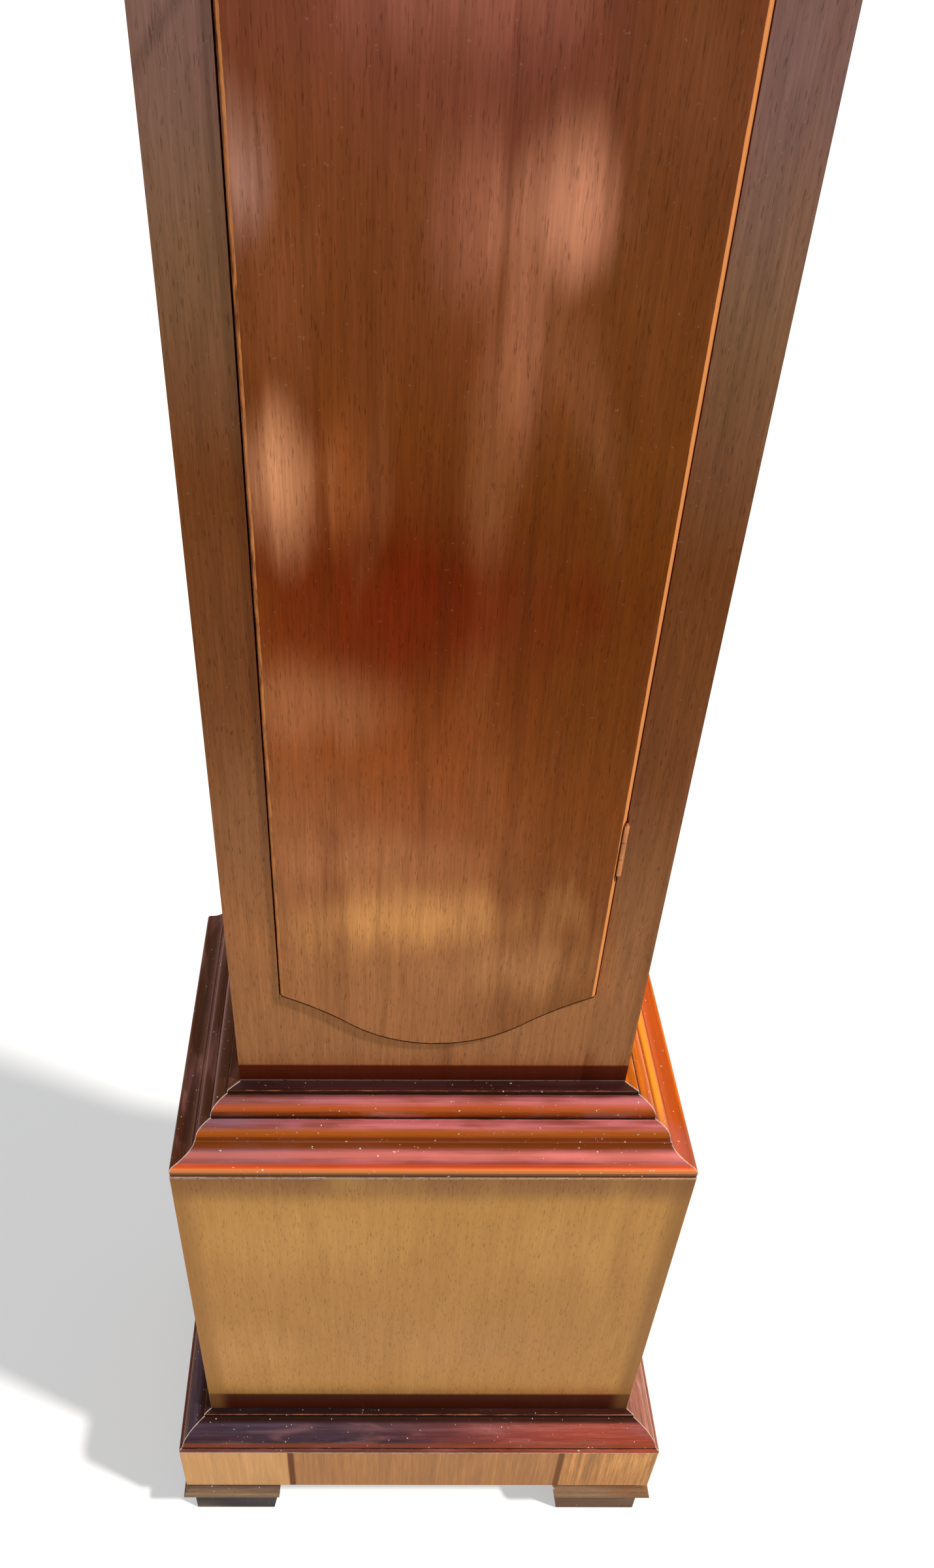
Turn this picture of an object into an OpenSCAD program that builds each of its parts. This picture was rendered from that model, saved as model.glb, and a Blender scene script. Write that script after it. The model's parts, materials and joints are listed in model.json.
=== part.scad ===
/* [Trunk] */
// Width of the trunk
trunk_w = 250; // [235:1:300]
// Depth of the trunk, front to back
trunk_d = 184; // [176:1:221]
// Height of the trunk between its two mouldings
trunk_h = 760; // [740:1:912]
// Thickness of the trunk's side boards
side_t = 12; // [9:1:15]
// Thickness of the stiles and rails round the door
stile_t = 15; // [13:1:17]
// Thickness of the backboard
back_t = 12; // [9:1:14]
// How far the trunk goes down inside the base
trunk_socket = 60; // [40:1:80]

/* [Trunk door] */
// Width of the door
door_w = 190; // [180:1:196]
// How far the door stands in front of the stiles
door_proud = 3; // [2:0.5:4]
// Height of the door's lower corners above the trunk's foot
shoulder_h = 84.5; // [70:0.5:95]
// Drop of the serpentine edge from corner to middle
belly_h = 44.2; // [36:0.2:50]
// Gap between the door and its opening
door_gap = 0.8; // [0.6:0.05:1.2]
// Height of the keyhole above the trunk's foot
keyhole_h = 620; // [600:1:640]
// Throw of the lock bolt
bolt_throw = 10; // [8:0.5:12]

/* [Base] */
// How far the base stands out from the trunk
base_over = 44.3; // [42:0.1:53]
// Visible height of the base box
base_h = 327; // [280:1:392]
// Thickness of the base boards
base_t = 16; // [12:1:18]
// How far the plinth stands out from the base
plinth_over = 25; // [18:0.5:26]
// Height of the plinth boards
plinth_h = 64; // [50:1:80]
// Height of the moulding on top of the plinth
plinth_cap_h = 22; // [20:1:26]

/* [Feet] */
// Height of the bracket feet
foot_h = 58; // [48:1:70]
// Length of each foot along the plinth
foot_w = 80; // [66:1:96]
// How far the bead of a foot stands out from the plinth
foot_lip = 3.5; // [2.5:0.5:5]
// How far the foot's block is set back from the plinth's face
foot_back = 4; // [3:0.5:6]

/* [Moulding] */
// Height of the mouldings above and below the trunk
waist_h = 41; // [38:1:49]
// Width of the top fillet
fillet_w = 8.5; // [7:0.5:10]
// Radius of the ovolo
ovolo_r = 10; // [8:0.5:11]
// Radius of the bead
bead_r = 7.5; // [6:0.5:8]
// Radius of the cove
cove_r = 12; // [10:0.5:13]

/* [Hood] */
// Width of the hood's body on a trunk 250 wide
hood_w = 320; // [310:1:330]
// Thickness of the hood's side boards
hood_t = 12; // [9:1:13]
// Height of the hood's bottom frame
hood_rail_h = 26; // [20:1:32]
// Thickness of the hood door
hood_door_t = 17.5; // [16:0.5:20]
// Projection of the cornice
cornice_over = 18; // [14:1:20]
// Height of the cornice
cornice_h = 24; // [20:1:28]
// Thickness of the bent top
top_t = 7; // [5:1:8]
// How far the hood draws forward
hood_travel = 260; // [200:5:280]

/* [Dial] */
// Width of the dial plate
dial_w = 230; // [226:1:234]
// Radius of the dial's arch
arch_r = 84; // [80:1:86]
// Outer radius of the chapter ring
chapter_r = 106; // [100:1:108]
// Width of the chapter ring
chapter_w = 30; // [24:1:34]
// Length of the minute hand from the centre
minute_l = 92; // [80:1:96]
// Length of the hour hand from the centre
hour_l = 66; // [56:1:72]

/* [Movement] */
// Width of the plates
plate_w = 104; // [100:1:120]
// Clear distance between the plates
plate_gap = 65; // [65:1:70]
// Thickness of the plates
plate_t = 2.5; // [2:0.5:3]
// Module of the great wheel's teeth
great_m = 1.2; // [1.2:0.05:1.25]
// Module of the centre wheel's teeth
centre_m = 0.9; // [0.9:0.02:0.94]
// Module of the third wheel's teeth
third_m = 0.8; // [0.8:0.02:0.84]
// Radius of the barrel's drum
drum_r = 11.5; // [10:0.5:13]
// Radius of the escape wheel over its teeth
escape_r = 17; // [16:0.5:17]

/* [Pendulum and weight] */
// Length from the point of suspension to the middle of the bob
pendulum_l = 805; // [760:1:830]
// Radius of the bob
bob_r = 48; // [40:1:50]
// Swing each side of the middle, in degrees
swing = 2.5; // [1.5:0.5:3]
// Radius of the weight
weight_r = 25; // [20:1:28]
// Height of the weight
weight_h = 150; // [120:1:160]
// Rise of the weight from run down to fully wound
weight_rise = 600; // [500:10:600]
// Radius at which the line runs round the pulley
pulley_r = 22; // [18:1:24]
// Diameter of the line
line_d = 1.5; // [1.2:0.1:2]

/* [Hidden] */

// Overall places: y = 0 is the trunk's front face until in_place() moves it
plinth_side = base_over + plinth_over;
depth = trunk_d + plinth_side + foot_lip;
front_y = depth / 2 - trunk_d;
base_w = trunk_w + 2 * base_over;
plinth_w = trunk_w + 2 * plinth_side;
z_plinth = foot_h + plinth_h;
z_base = z_plinth + plinth_cap_h;
z_waist = z_base + base_h;
z_trunk = z_waist + waist_h;
z_throat = z_trunk + trunk_h;
z_hood = z_throat + waist_h;
back_y = trunk_d - back_t;

// Running and fitting clearances
run_fit = 0.05;
slide_gap = 0.3;
hinge_gap = 0.4;
hood_gap = 1;
glass_gap = 0.2;

// Gap along the door's curved edges, wide enough for its back corners to swing past the rails
rail_gap = max(door_gap, 0.55 * pow(stile_t + door_proud, 2) / door_w);

// Serpentine edge: a belly arc and a shoulder arc each side, by their slopes where they meet and end
belly_a = 38.7;
shoulder_a = 24.2;
arc_det = sin(belly_a) * (cos(shoulder_a) - cos(belly_a))
  - (sin(belly_a) - sin(shoulder_a)) * (1 - cos(belly_a));

// Hood and dial heights
sight_w = dial_w - 4;
sight_r = arch_r - 2;
mask_w = dial_w - 8;
mask_r = arch_r - 4;
door_rail = 28;
hood_door_z = z_hood + hood_rail_h + 1.5;
z_dial = hood_door_z + door_rail + 2 + sight_w / 2;
z_spring = z_dial + mask_w / 2;
door_arch_r = sight_r + door_rail;
head_low = door_rail + 24;
head_r = door_arch_r + 22;
head_top = head_low + cornice_h;
top_r = head_r + cornice_h;
hood_front = -(base_over - 9.3);
hood_side_y = hood_front + hood_door_t + 0.5;
mask_y = -4;
mask_t = 8;
dial_y = -2;
dial_t = 2;

// Movement: arbors as [x, z] from the dial's centre, and depths from the trunk's front face
great_n = 72;
centre_n = 50;
third_n = 48;
escape_n = 30;
pinion_n = 6;
cannon_n = 10;
minute_n = 30;
nut_n = 8;
hour_n = 32;
motion_m = 1;
great_c = (great_n + pinion_n) * great_m / 2;
third_c = (centre_n + pinion_n) * centre_m / 2;
escape_c = (third_n + pinion_n) * third_m / 2;
barrel_at = [0, -great_c];
escape_at = [0, 36];
third_z = (third_c * third_c - escape_c * escape_c + escape_at[1] * escape_at[1]) / (2 * escape_at[1]);
third_at = [sqrt(third_c * third_c - third_z * third_z), third_z];
pallet_at = [0, escape_at[1] + escape_r * sqrt(2)];
minute_at = [-(cannon_n + minute_n) * motion_m / 2, 0];
plate_low = -great_c - great_n * great_m / 2 - 4.9;
plate_high = pallet_at[1] + 12;
plate_front = 30;
plate_in = plate_front + plate_t;
plate_out = plate_in + plate_gap;
pendulum_y = plate_out + plate_t + 22;
z_seat = z_dial + plate_low;
seat_t = 18;
z_cheek = z_seat - seat_t;
great_y = plate_in + 47.5;
centre_y = plate_in + 7.5;
third_y = plate_in + 27.5;
escape_y = plate_in + 47.5;
drum_y = plate_in + 5.5;
drum_l = 38;
arbor_r = 1.5;
pivot_r = 1;
pillar_x = plate_w / 2 - 7;

// Weight, its line and the pendulum
line_r = line_d / 2;
line_turn_r = drum_r + slide_gap + line_r;
line_y = drum_y + drum_l / 2 + 5;
pulley_x = pulley_r - line_turn_r;
z_pulley = z_cheek - 30 - weight_rise;
weight_top = z_pulley - 40;
z_swing = z_dial + pallet_at[1];
z_bob = z_swing - pendulum_l;
bob_t = 22;
rod_r = 2;
spring_l = 24;

// Width of the hood, which follows the trunk so that its sides stay clear of it
hood_wide = hood_w + trunk_w - 250;

// Hinges: [axis x, axis y], knuckle radius and length
hinge_r = 1.5;
hinge_l = 36;
pin_r = 0.7;
leaf_t = 0.8;
leaf_w = 12;
trunk_hinge = [(door_w + door_gap) / 2, 0.8 - door_proud];
trunk_hinge_z = [z_trunk + shoulder_h + 118, z_throat - shoulder_h - 62];
hood_hinge = [hood_wide / 2 + hinge_r + 0.3, hood_side_y - 0.25];
hood_hinge_z = [hood_door_z + 50, z_spring - 30];
lock_x = -door_w / 2 + 17;
lock_w = 34;
lock_h = 42;
lock_t = 11;
lock_wall = 1.2;
lock_y = stile_t;
bolt_y = 5.2;
bolt_t = 2;
key_r = 2;
keyhole_r = 2.6;

function arc(c, r, a, b, n = 8) =
  [for (i = [0:n]) c + r * [cos(a + (b - a) * i / n), sin(a + (b - a) * i / n)]];

// Radii of the belly and shoulder arcs for a half width and a drop
function belly_r(a, b) = (a * (cos(shoulder_a) - cos(belly_a)) - b * (sin(belly_a) - sin(shoulder_a)))
  / arc_det;
function shoulder_r(a, b) = (b * sin(belly_a) - a * (1 - cos(belly_a))) / arc_det;

// The right half of the serpentine edge, from the middle out to the corner, as [x, rise above the middle]
function serpentine(a, b) = concat(
  [for (i = [0:8]) let (t = belly_a * i / 8) belly_r(a, b) * [sin(t), 1 - cos(t)]],
  [for (i = [1:6]) let (t = belly_a + (shoulder_a - belly_a) * i / 6)
    [a - shoulder_r(a, b) * (sin(t) - sin(shoulder_a)), b - shoulder_r(a, b) * (cos(shoulder_a) - cos(t))]]);

function mirrored(points) = [for (i = [len(points) - 1:-1:1]) [-points[i][0], points[i][1]]];

// The whole serpentine edge from left to right, seen from the front
function serpentine_edge(a, b) = concat(mirrored(serpentine(a, b)), serpentine(a, b));

// Phase of a wheel that meshes with a first one: direction to it, first phase, and both tooth counts
function mesh_phase(dir, phase, n1, n2) = dir + 180 + 180 / n2 - (phase - dir) * n1 / n2;

function direction(from, to) = atan2(to[1] - from[1], to[0] - from[0]);

module in_place() translate([0, front_y, 0]) children();

// Stands a drawing in x and z, with its thickness running from y to y + t
module upright(y, t) translate([0, y + t, 0]) rotate([90, 0, 0]) linear_extrude(t) children();

// Puts a turned piece, drawn about z from its front end, on an axis that runs back along y
module along_y(at, y) translate([at[0], y, z_dial + at[1]]) rotate([-90, 0, 0]) children();

module board(x0, x1, y0, y1, z0, z1) translate([x0, y0, z0]) cube([x1 - x0, y1 - y0, z1 - z0]);

module both_sides() {
  children();
  mirror([1, 0, 0]) children();
}

// The moulding section, t outwards and z up, with its top at z = 0
module waist_section() {
  z1 = 2;
  t2 = fillet_w + ovolo_r + 1;
  z2 = z1 + ovolo_r + 2;
  z3 = z2 + bead_r;
  polygon(concat([[0, 0], [fillet_w - 1, 0], [fillet_w - 0.5, -z1]],
    arc([fillet_w, -z1 - ovolo_r], ovolo_r, 90, 0), [[fillet_w + ovolo_r, -z2]],
    arc([t2, -z3], bead_r, 90, 0), arc([t2 + bead_r + cove_r, -z3], cove_r, 187, 270),
    [[base_over, -z3 - cove_r], [base_over, -waist_h], [0, -waist_h]]));
}

module plinth_section() {
  r = plinth_cap_h - 7;
  polygon(concat([[0, 0], [5.2, 0], [5.2, -2.8]], arc([6, -3 - r], r, 88, 8),
    [[plinth_over - 2, -plinth_cap_h + 4], [plinth_over - 2, -plinth_cap_h + 2.6],
    [plinth_over, -plinth_cap_h + 2.6], [plinth_over, -plinth_cap_h], [0, -plinth_cap_h]]));
}

module foot_section() {
  polygon(concat([[-foot_w, 0], [-6, 0], [-6, -2]], arc([3, -3], 9, 184, 262),
    arc([foot_lip - 4, -16], 4, 60, -90, 10),
    [[-foot_back, -20], [-foot_back, -foot_h], [-foot_w, -foot_h]]));
}

module cornice_section() {
  polygon(concat([[0, 0], [3, 0], [3, 3]], arc([3, 10], 7, -86, -4), [[11, 10], [11, 12]],
    arc([cornice_over, 12], 6.5, 176, 96), [[cornice_over, cornice_h - 4], [cornice_over, cornice_h],
    [0, cornice_h]]));
}

// A run of moulding along the front of a box of width w, mitred for its returns
module front_run(w, over, h) intersection() {
  rotate([90, 0, -90]) linear_extrude(w + 2 * over, center = true) children();
  translate([0, 0, -h]) linear_extrude(2 * h)
    polygon([[-w / 2, 0], [w / 2, 0], [w / 2 + over, -over], [-w / 2 - over, -over]]);
}

// The return on the right side of the same box, running back to y = d
module side_run(w, over, h, d) intersection() {
  translate([w / 2, d, 0]) rotate([90, 0, 0]) linear_extrude(d + over) children();
  translate([0, 0, -h]) linear_extrude(2 * h)
    polygon([[w / 2, 0], [w / 2 + over, -over], [w / 2 + over, d], [w / 2, d]]);
}

module mitred_frame(w, over, h, d) {
  front_run(w, over, h) children();
  both_sides() side_run(w, over, h, d) children();
}

// Tooth outline: fractions of the tooth pitch at root and tip, and heights in modules
module toothed(n, m, root, tip, add, ded, phase) {
  r = n * m / 2;
  p = 360 / n;
  shape = [[-root, r - ded * m], [-tip, r + add * m], [tip, r + add * m], [root, r - ded * m]];
  polygon([for (i = [0:n - 1]) for (k = shape)
    let (a = phase + p * i + p / 2 * k[0]) k[1] * [cos(a), sin(a)]]);
}

module wheel_teeth(n, m, phase) toothed(n, m, 0.46, 0.14, 0.9, 1.25, phase);

module pinion_teeth(n, m, phase) toothed(n, m, 0.34, 0.16, 0.7, 1.4, phase);

// A crossed-out wheel seen from the front, centred on its own arbor
module wheel_disc(r_rim, r_hub, spokes, phase) difference() {
  children();
  for (i = [0:spokes - 1]) rotate(phase + 360 / spokes * i) intersection() {
    difference() {
      circle(r_rim, $fn = 64);
      circle(r_hub, $fn = 32);
    }
    polygon([[r_hub * 0.5, r_hub * 0.32], [r_rim * 1.4, r_hub * 0.32 + r_rim * 0.24],
      [r_rim * 0.5, r_rim * 1.3], [r_hub * 0.16, r_hub * 0.55]]);
  }
}

// Flat wheels are drawn seen from the front, x to the right and z up
module flat_wheel(at, y, t) translate([at[0], 0, z_dial + at[1]]) upright(y, t) children();

module arbor(at, y0, y1, r) along_y(at, y0) cylinder(r = r, h = y1 - y0, $fn = 32);

// An arbor between the plates, with a smaller pivot at each end
module pivoted_arbor(at, r) {
  arbor(at, plate_in + 0.3, plate_out - 0.3, r);
  arbor(at, plate_front, plate_out + plate_t, pivot_r);
}

module pivot_hole(at, y, r) along_y(at, y - 1) cylinder(r = r + run_fit, h = plate_t + 2, $fn = 32);

// Break-arch outline: half width, lowest z, shoulder above the spring line, and arch radius
module break_arch(half, z0, shoulder, r) {
  translate([-half, z0]) square([2 * half, z_spring + shoulder - z0]);
  translate([0, z_spring]) circle(r, $fn = 96);
}

module knuckle(at, z0, z1, r) translate([at[0], at[1], z0]) cylinder(r = r, h = z1 - z0, $fn = 32);

// One hinge half: its knuckles and a leaf from x0, running back from y0; ends holds the pin
module hinge_half(at, z, x0, y0, ends) {
  part = hinge_l / 3;
  difference() {
    union() {
      for (k = ends ? [-1, 1] : [0]) {
        low = z + k * part - part / 2 + hinge_gap / 2;
        high = z + k * part + part / 2 - hinge_gap / 2;
        knuckle(at, low, high, hinge_r);
        board(x0, x0 + leaf_t, min(at[1], y0), max(at[1], y0), low, high);
      }
      y1 = y0 > at[1] ? y0 + leaf_w : y0 - leaf_w;
      board(x0, x0 + leaf_t, min(y0, y1), max(y0, y1), z - hinge_l / 2, z + hinge_l / 2);
    }
    knuckle(at, z - hinge_l, z + hinge_l, ends ? pin_r : pin_r + run_fit);
  }
}

module hinge_pin(at, z) knuckle(at, z - hinge_l / 2 - 0.6, z + hinge_l / 2 + 0.6, pin_r);

module backboard() color("saddlebrown") in_place() {
  inner = base_w / 2 - base_t;
  board(-inner, inner, back_y, trunk_d, foot_h, z_waist);
  board(side_t - trunk_w / 2, trunk_w / 2 - side_t, back_y, trunk_d, z_waist - 1, z_cheek + 1);
  board(hood_t + hood_gap - hood_wide / 2, hood_wide / 2 - hood_t - hood_gap, back_y, trunk_d, z_cheek,
    z_spring + 40);
}

module trunk_side() {
  x = trunk_w / 2;
  board(x - side_t, x, stile_t, back_y, z_trunk - trunk_socket, z_cheek);
  board(x - side_t, x, back_y - 1, trunk_d, z_waist, z_cheek);
}

module trunk_side_left() color("sienna") in_place() mirror([1, 0, 0]) trunk_side();
module trunk_side_right() color("sienna") in_place() trunk_side();

module trunk_stiles() color("sienna") in_place() {
  x = door_w / 2 + door_gap;
  mirror([1, 0, 0]) {
    board(x, trunk_w / 2, 0, stile_t, z_trunk - trunk_socket, z_hood);
    board(x, trunk_w / 2 - side_t, stile_t - 1, stile_t + bolt_y - 0.4, z_trunk + keyhole_h - 20,
      z_trunk + keyhole_h + 20);
  }
  difference() {
    board(x, trunk_w / 2, 0, stile_t, z_trunk - trunk_socket, z_hood);
    for (z = trunk_hinge_z) board(x - 1, x + leaf_t, -1, leaf_w + 1, z - hinge_l / 2, z + hinge_l / 2);
  }
}

// The rail under the door; flipped, the one over it
module rail_outline(h) {
  a = door_w / 2 + door_gap;
  edge = serpentine_edge(a, belly_h);
  polygon(concat([[-a, -h]], [for (p = edge) [p[0], shoulder_h - belly_h - rail_gap + p[1]]], [[a, -h]]));
}

module trunk_bottom_rail() color("sienna") in_place()
  translate([0, 0, z_trunk]) upright(0, stile_t) rail_outline(trunk_socket);

module trunk_top_rail() color("sienna") in_place()
  translate([0, 0, z_throat]) upright(0, stile_t) mirror([0, 1]) rail_outline(waist_h);

module base_front() color("sienna") in_place()
  board(-base_w / 2, base_w / 2, -base_over, base_t - base_over, foot_h, z_waist);

module base_side() board(base_w / 2 - base_t, base_w / 2, base_t - base_over, trunk_d, foot_h, z_waist);
module base_side_left() color("sienna") in_place() mirror([1, 0, 0]) base_side();
module base_side_right() color("sienna") in_place() base_side();

module base_floor() color("saddlebrown") in_place()
  board(base_t - base_w / 2, base_w / 2 - base_t, base_t - base_over, back_y, foot_h + 12, foot_h + 22);

module plinth_boards() color("sienna") in_place() translate([0, -base_over, z_plinth])
  mitred_frame(base_w, plinth_over, plinth_h + 1, trunk_d + base_over)
    translate([0, -plinth_h]) square([plinth_over, plinth_h]);

module plinth_moulding() color("firebrick") in_place() translate([0, -base_over, z_base])
  mitred_frame(base_w, plinth_over, plinth_cap_h + 1, trunk_d + base_over) plinth_section();

module waist_moulding() color("firebrick") in_place() translate([0, 0, z_trunk])
  mitred_frame(trunk_w, base_over, waist_h + 1, trunk_d) waist_section();

module throat_moulding() color("firebrick") in_place() translate([0, 0, z_throat])
  mitred_frame(trunk_w, base_over, waist_h + 1, trunk_d) mirror([0, 1]) waist_section();

module foot_bar(l) rotate([90, 0, 0]) linear_extrude(l) foot_section();

module bracket_feet() color("dimgray") in_place() both_sides() {
  translate([plinth_w / 2, -plinth_side, foot_h]) intersection() {
    translate([0, foot_w, 0]) foot_bar(foot_w + foot_lip + 1);
    rotate([0, 0, -90]) translate([0, foot_lip + 1, 0]) foot_bar(foot_w + foot_lip + 1);
  }
  translate([plinth_w / 2, trunk_d, foot_h]) foot_bar(foot_w);
}

// Blocks that carry the trunk inside the base, and the strips that carry its floor
module glue_blocks() color("peru") in_place() {
  both_sides() {
    board(trunk_w / 2, base_w / 2 - base_t, 20, 60, z_trunk - trunk_socket, z_waist - 2);
    board(trunk_w / 2, base_w / 2 - base_t, trunk_d - 60, trunk_d - 20, z_trunk - trunk_socket, z_waist - 2);
    board(door_w / 2 - 20, trunk_w / 2 - 10, base_t - base_over, 0, z_trunk - trunk_socket, z_waist - 2);
    board(base_w / 2 - base_t - 14, base_w / 2 - base_t, 0, back_y, foot_h, foot_h + 12);
  }
}

module seatboard() color("peru") in_place() difference() {
  board(-trunk_w / 2, trunk_w / 2, 18, plate_out + plate_t + 8, z_cheek, z_seat);
  translate([-line_turn_r, line_y, z_cheek - 1]) cylinder(r = 4, h = seat_t + 2, $fn = 32);
  translate([pulley_x + pulley_r, line_y, z_cheek - 1]) cylinder(r = line_r + 0.3, h = seat_t + 2, $fn = 32);
}

module trunk_hinge_leaves() color("goldenrod") in_place() for (z = trunk_hinge_z) {
  hinge_half(trunk_hinge, z, door_w / 2 + door_gap, 0.4, true);
  hinge_pin(trunk_hinge, z);
}

module door_hinge_leaves() color("goldenrod") in_place() for (z = trunk_hinge_z)
  hinge_half(trunk_hinge, z, door_w / 2 - leaf_t, 0.4, false);

module door_outline() {
  a = door_w / 2;
  edge = serpentine_edge(a, belly_h);
  low = z_trunk + shoulder_h - belly_h;
  high = z_throat - shoulder_h + belly_h;
  polygon(concat([for (p = edge) [p[0], low + p[1]]],
    [for (i = [len(edge) - 1:-1:0]) [edge[i][0], high - edge[i][1]]]));
}

module trunk_door() color("sienna") in_place() difference() {
  upright(-door_proud, stile_t + door_proud) door_outline();
  both_sides() translate([door_w / 2, -door_proud, z_trunk]) linear_extrude(trunk_h) difference() {
    translate([-door_proud + 0.3, -1]) square([door_proud + 1, door_proud + 0.7]);
    translate([-door_proud, door_proud]) circle(door_proud, $fn = 48);
  }
  for (z = trunk_hinge_z) {
    knuckle(trunk_hinge, z - hinge_l / 2 - 1, z + hinge_l / 2 + 1, hinge_r + hinge_gap);
    board(door_w / 2 - leaf_t, door_w / 2 + 1, -door_proud - 1, leaf_w + 1, z - hinge_l / 2, z + hinge_l / 2);
  }
  translate([-door_w / 2, 0, z_trunk]) linear_extrude(trunk_h)
    polygon([[-1, 3], [0, 3], [1, stile_t + 1], [-1, stile_t + 1]]);
  translate([lock_x, -door_proud - 1, z_trunk + keyhole_h]) rotate([-90, 0, 0])
    cylinder(r = keyhole_r, h = stile_t + door_proud + 2, $fn = 32);
}

module at_lock(y) translate([lock_x, y, z_trunk + keyhole_h]) children();

module door_lock() color("goldenrod") in_place() at_lock(lock_y) difference() {
  x0 = -door_w / 2 + 3 - lock_x;
  board(x0, x0 + lock_w, 0, lock_t, -lock_h / 2, lock_h / 2);
  board(x0 + lock_wall, x0 + lock_w - lock_wall, lock_wall, lock_t - lock_wall, lock_wall - lock_h / 2,
    lock_h / 2 - lock_wall);
  board(x0 - 1, x0 + 2, bolt_y - slide_gap, bolt_y + bolt_t + slide_gap, -6 - slide_gap, 6 + slide_gap);
  rotate([-90, 0, 0]) translate([0, 0, -1]) cylinder(r = keyhole_r, h = 4, $fn = 32);
}

module lock_bolt() color("silver") in_place() at_lock(lock_y) {
  x0 = -door_w / 2 + 3 - lock_x;
  board(x0, x0 + lock_w - bolt_throw, bolt_y, bolt_y + bolt_t, -6, 6);
}

module escutcheon() color("goldenrod") in_place() at_lock(-door_proud - 1) difference() {
  upright(0, 1) scale([0.62, 1]) circle(13, $fn = 9);
  rotate([-90, 0, 0]) translate([0, 0, -1]) cylinder(r = keyhole_r, h = 3, $fn = 32);
}

module door_key() color("goldenrod") in_place() at_lock(-door_proud) {
  bow = -26;
  end = door_proud + lock_y + 3.6;
  rotate([-90, 0, 0]) translate([0, 0, bow + 5]) cylinder(r = key_r, h = end - bow - 5, $fn = 32);
  rotate([-90, 0, 0]) translate([0, 0, -3]) cylinder(r = key_r + 1.2, h = 1.5, $fn = 32);
  board(-0.8, 0.8, end - 2, end, -7, 0);
  translate([0, bow, 0]) rotate([0, 90, 0]) rotate_extrude($fn = 48) translate([6, 0]) circle(1.6, $fn = 24);
}

module hood_side() board(hood_wide / 2 - hood_t, hood_wide / 2, hood_side_y, trunk_d, z_hood + hood_rail_h,
  z_spring + head_top - top_t);
module hood_side_left() color("sienna") in_place() mirror([1, 0, 0]) hood_side();
module hood_side_right() color("sienna") in_place() hood_side();

// The hood's bottom frame: three mitred rails with an ovolo edge, open at the back
module hood_rail() color("firebrick") in_place() {
  over = base_over + hood_front;
  wide = 32;
  inner = wide - over;
  translate([0, hood_front + inner, z_hood])
    mitred_frame(hood_wide - 2 * inner, wide, hood_rail_h + 1, trunk_d - hood_front - inner)
      polygon(concat([[0, slide_gap], [wide, slide_gap], [wide, hood_rail_h - over - 4]],
        arc([inner, hood_rail_h - over - 2], over, 0, 84), [[inner - 1, hood_rail_h], [0, hood_rail_h]]));
}

module hood_mask() color("saddlebrown") in_place() upright(mask_y - mask_t, mask_t) difference() {
  inner = hood_wide / 2 - hood_t;
  break_arch(inner, z_hood + hood_rail_h, head_top - top_t - 0.5, min(top_r - top_t, inner) - 0.5);
  break_arch(mask_w / 2, z_dial - mask_w / 2, 0, mask_r);
}

module hood_top() color("sienna") in_place() upright(hood_side_y, trunk_d - hood_side_y) difference() {
  break_arch(hood_wide / 2, z_spring + head_top - top_t, head_top, top_r);
  translate([-hood_wide, z_spring - 2 * top_r]) square([2 * hood_wide, 2 * top_r + head_top - top_t]);
  translate([0, z_spring]) circle(top_r - top_t, $fn = 96);
}

module hood_head() color("sienna") in_place() upright(hood_front, hood_side_y - hood_front) difference() {
  break_arch(hood_wide / 2, z_spring + door_rail + hood_gap, head_top, top_r);
  translate([-hood_wide, z_spring - 2 * top_r]) square([2 * hood_wide, 2 * top_r + door_rail + hood_gap]);
  translate([0, z_spring]) circle(door_arch_r + hood_gap, $fn = 96);
}

// The cornice: a moulded arch, two shoulders and two returns, mitred where they meet
module hood_cornice() color("firebrick") in_place() {
  x0 = sqrt(head_r * head_r - head_low * head_low);
  x1 = sqrt(top_r * top_r - head_top * head_top);
  j = 0.1;
  far = hood_wide;
  intersection() {
    translate([0, hood_front, z_spring]) rotate([90, 0, 0]) rotate_extrude($fn = 96)
      translate([head_r, 0]) mirror([1, -1]) cornice_section();
    upright(hood_front - far, 2 * far) translate([0, z_spring])
      polygon([[0, 0], [x0 - j, head_low], [x1 - j, head_top], [far, far], [-far, far],
        [j - x1, head_top], [j - x0, head_low]]);
  }
  both_sides() intersection() {
    translate([0, hood_front, z_spring + head_low])
      front_run(hood_wide, cornice_over, cornice_h + 1) cornice_section();
    upright(hood_front - far, 2 * far) translate([0, z_spring])
      polygon([[x0, head_low], [far, head_low], [far, head_top], [x1, head_top]]);
  }
  translate([0, hood_front, z_spring + head_low]) both_sides()
    side_run(hood_wide, cornice_over, cornice_h + 1, trunk_d - hood_front) cornice_section();
}

module hood_hinge_leaves() color("goldenrod") in_place() for (z = hood_hinge_z) {
  hinge_half(hood_hinge, z, hood_wide / 2, hood_hinge[1] + hinge_r + 0.3, true);
  hinge_pin(hood_hinge, z);
}

module hood_door_leaves() color("goldenrod") in_place() for (z = hood_hinge_z)
  hinge_half(hood_hinge, z, hood_wide / 2, hood_hinge[1] - hinge_r - 0.3, false);

rebate_t = 8;
rebate_w = 4;

// How far the back of the door's arch is eased to the left, so that it clears the head as it opens
arch_ease = 2.4;

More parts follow.
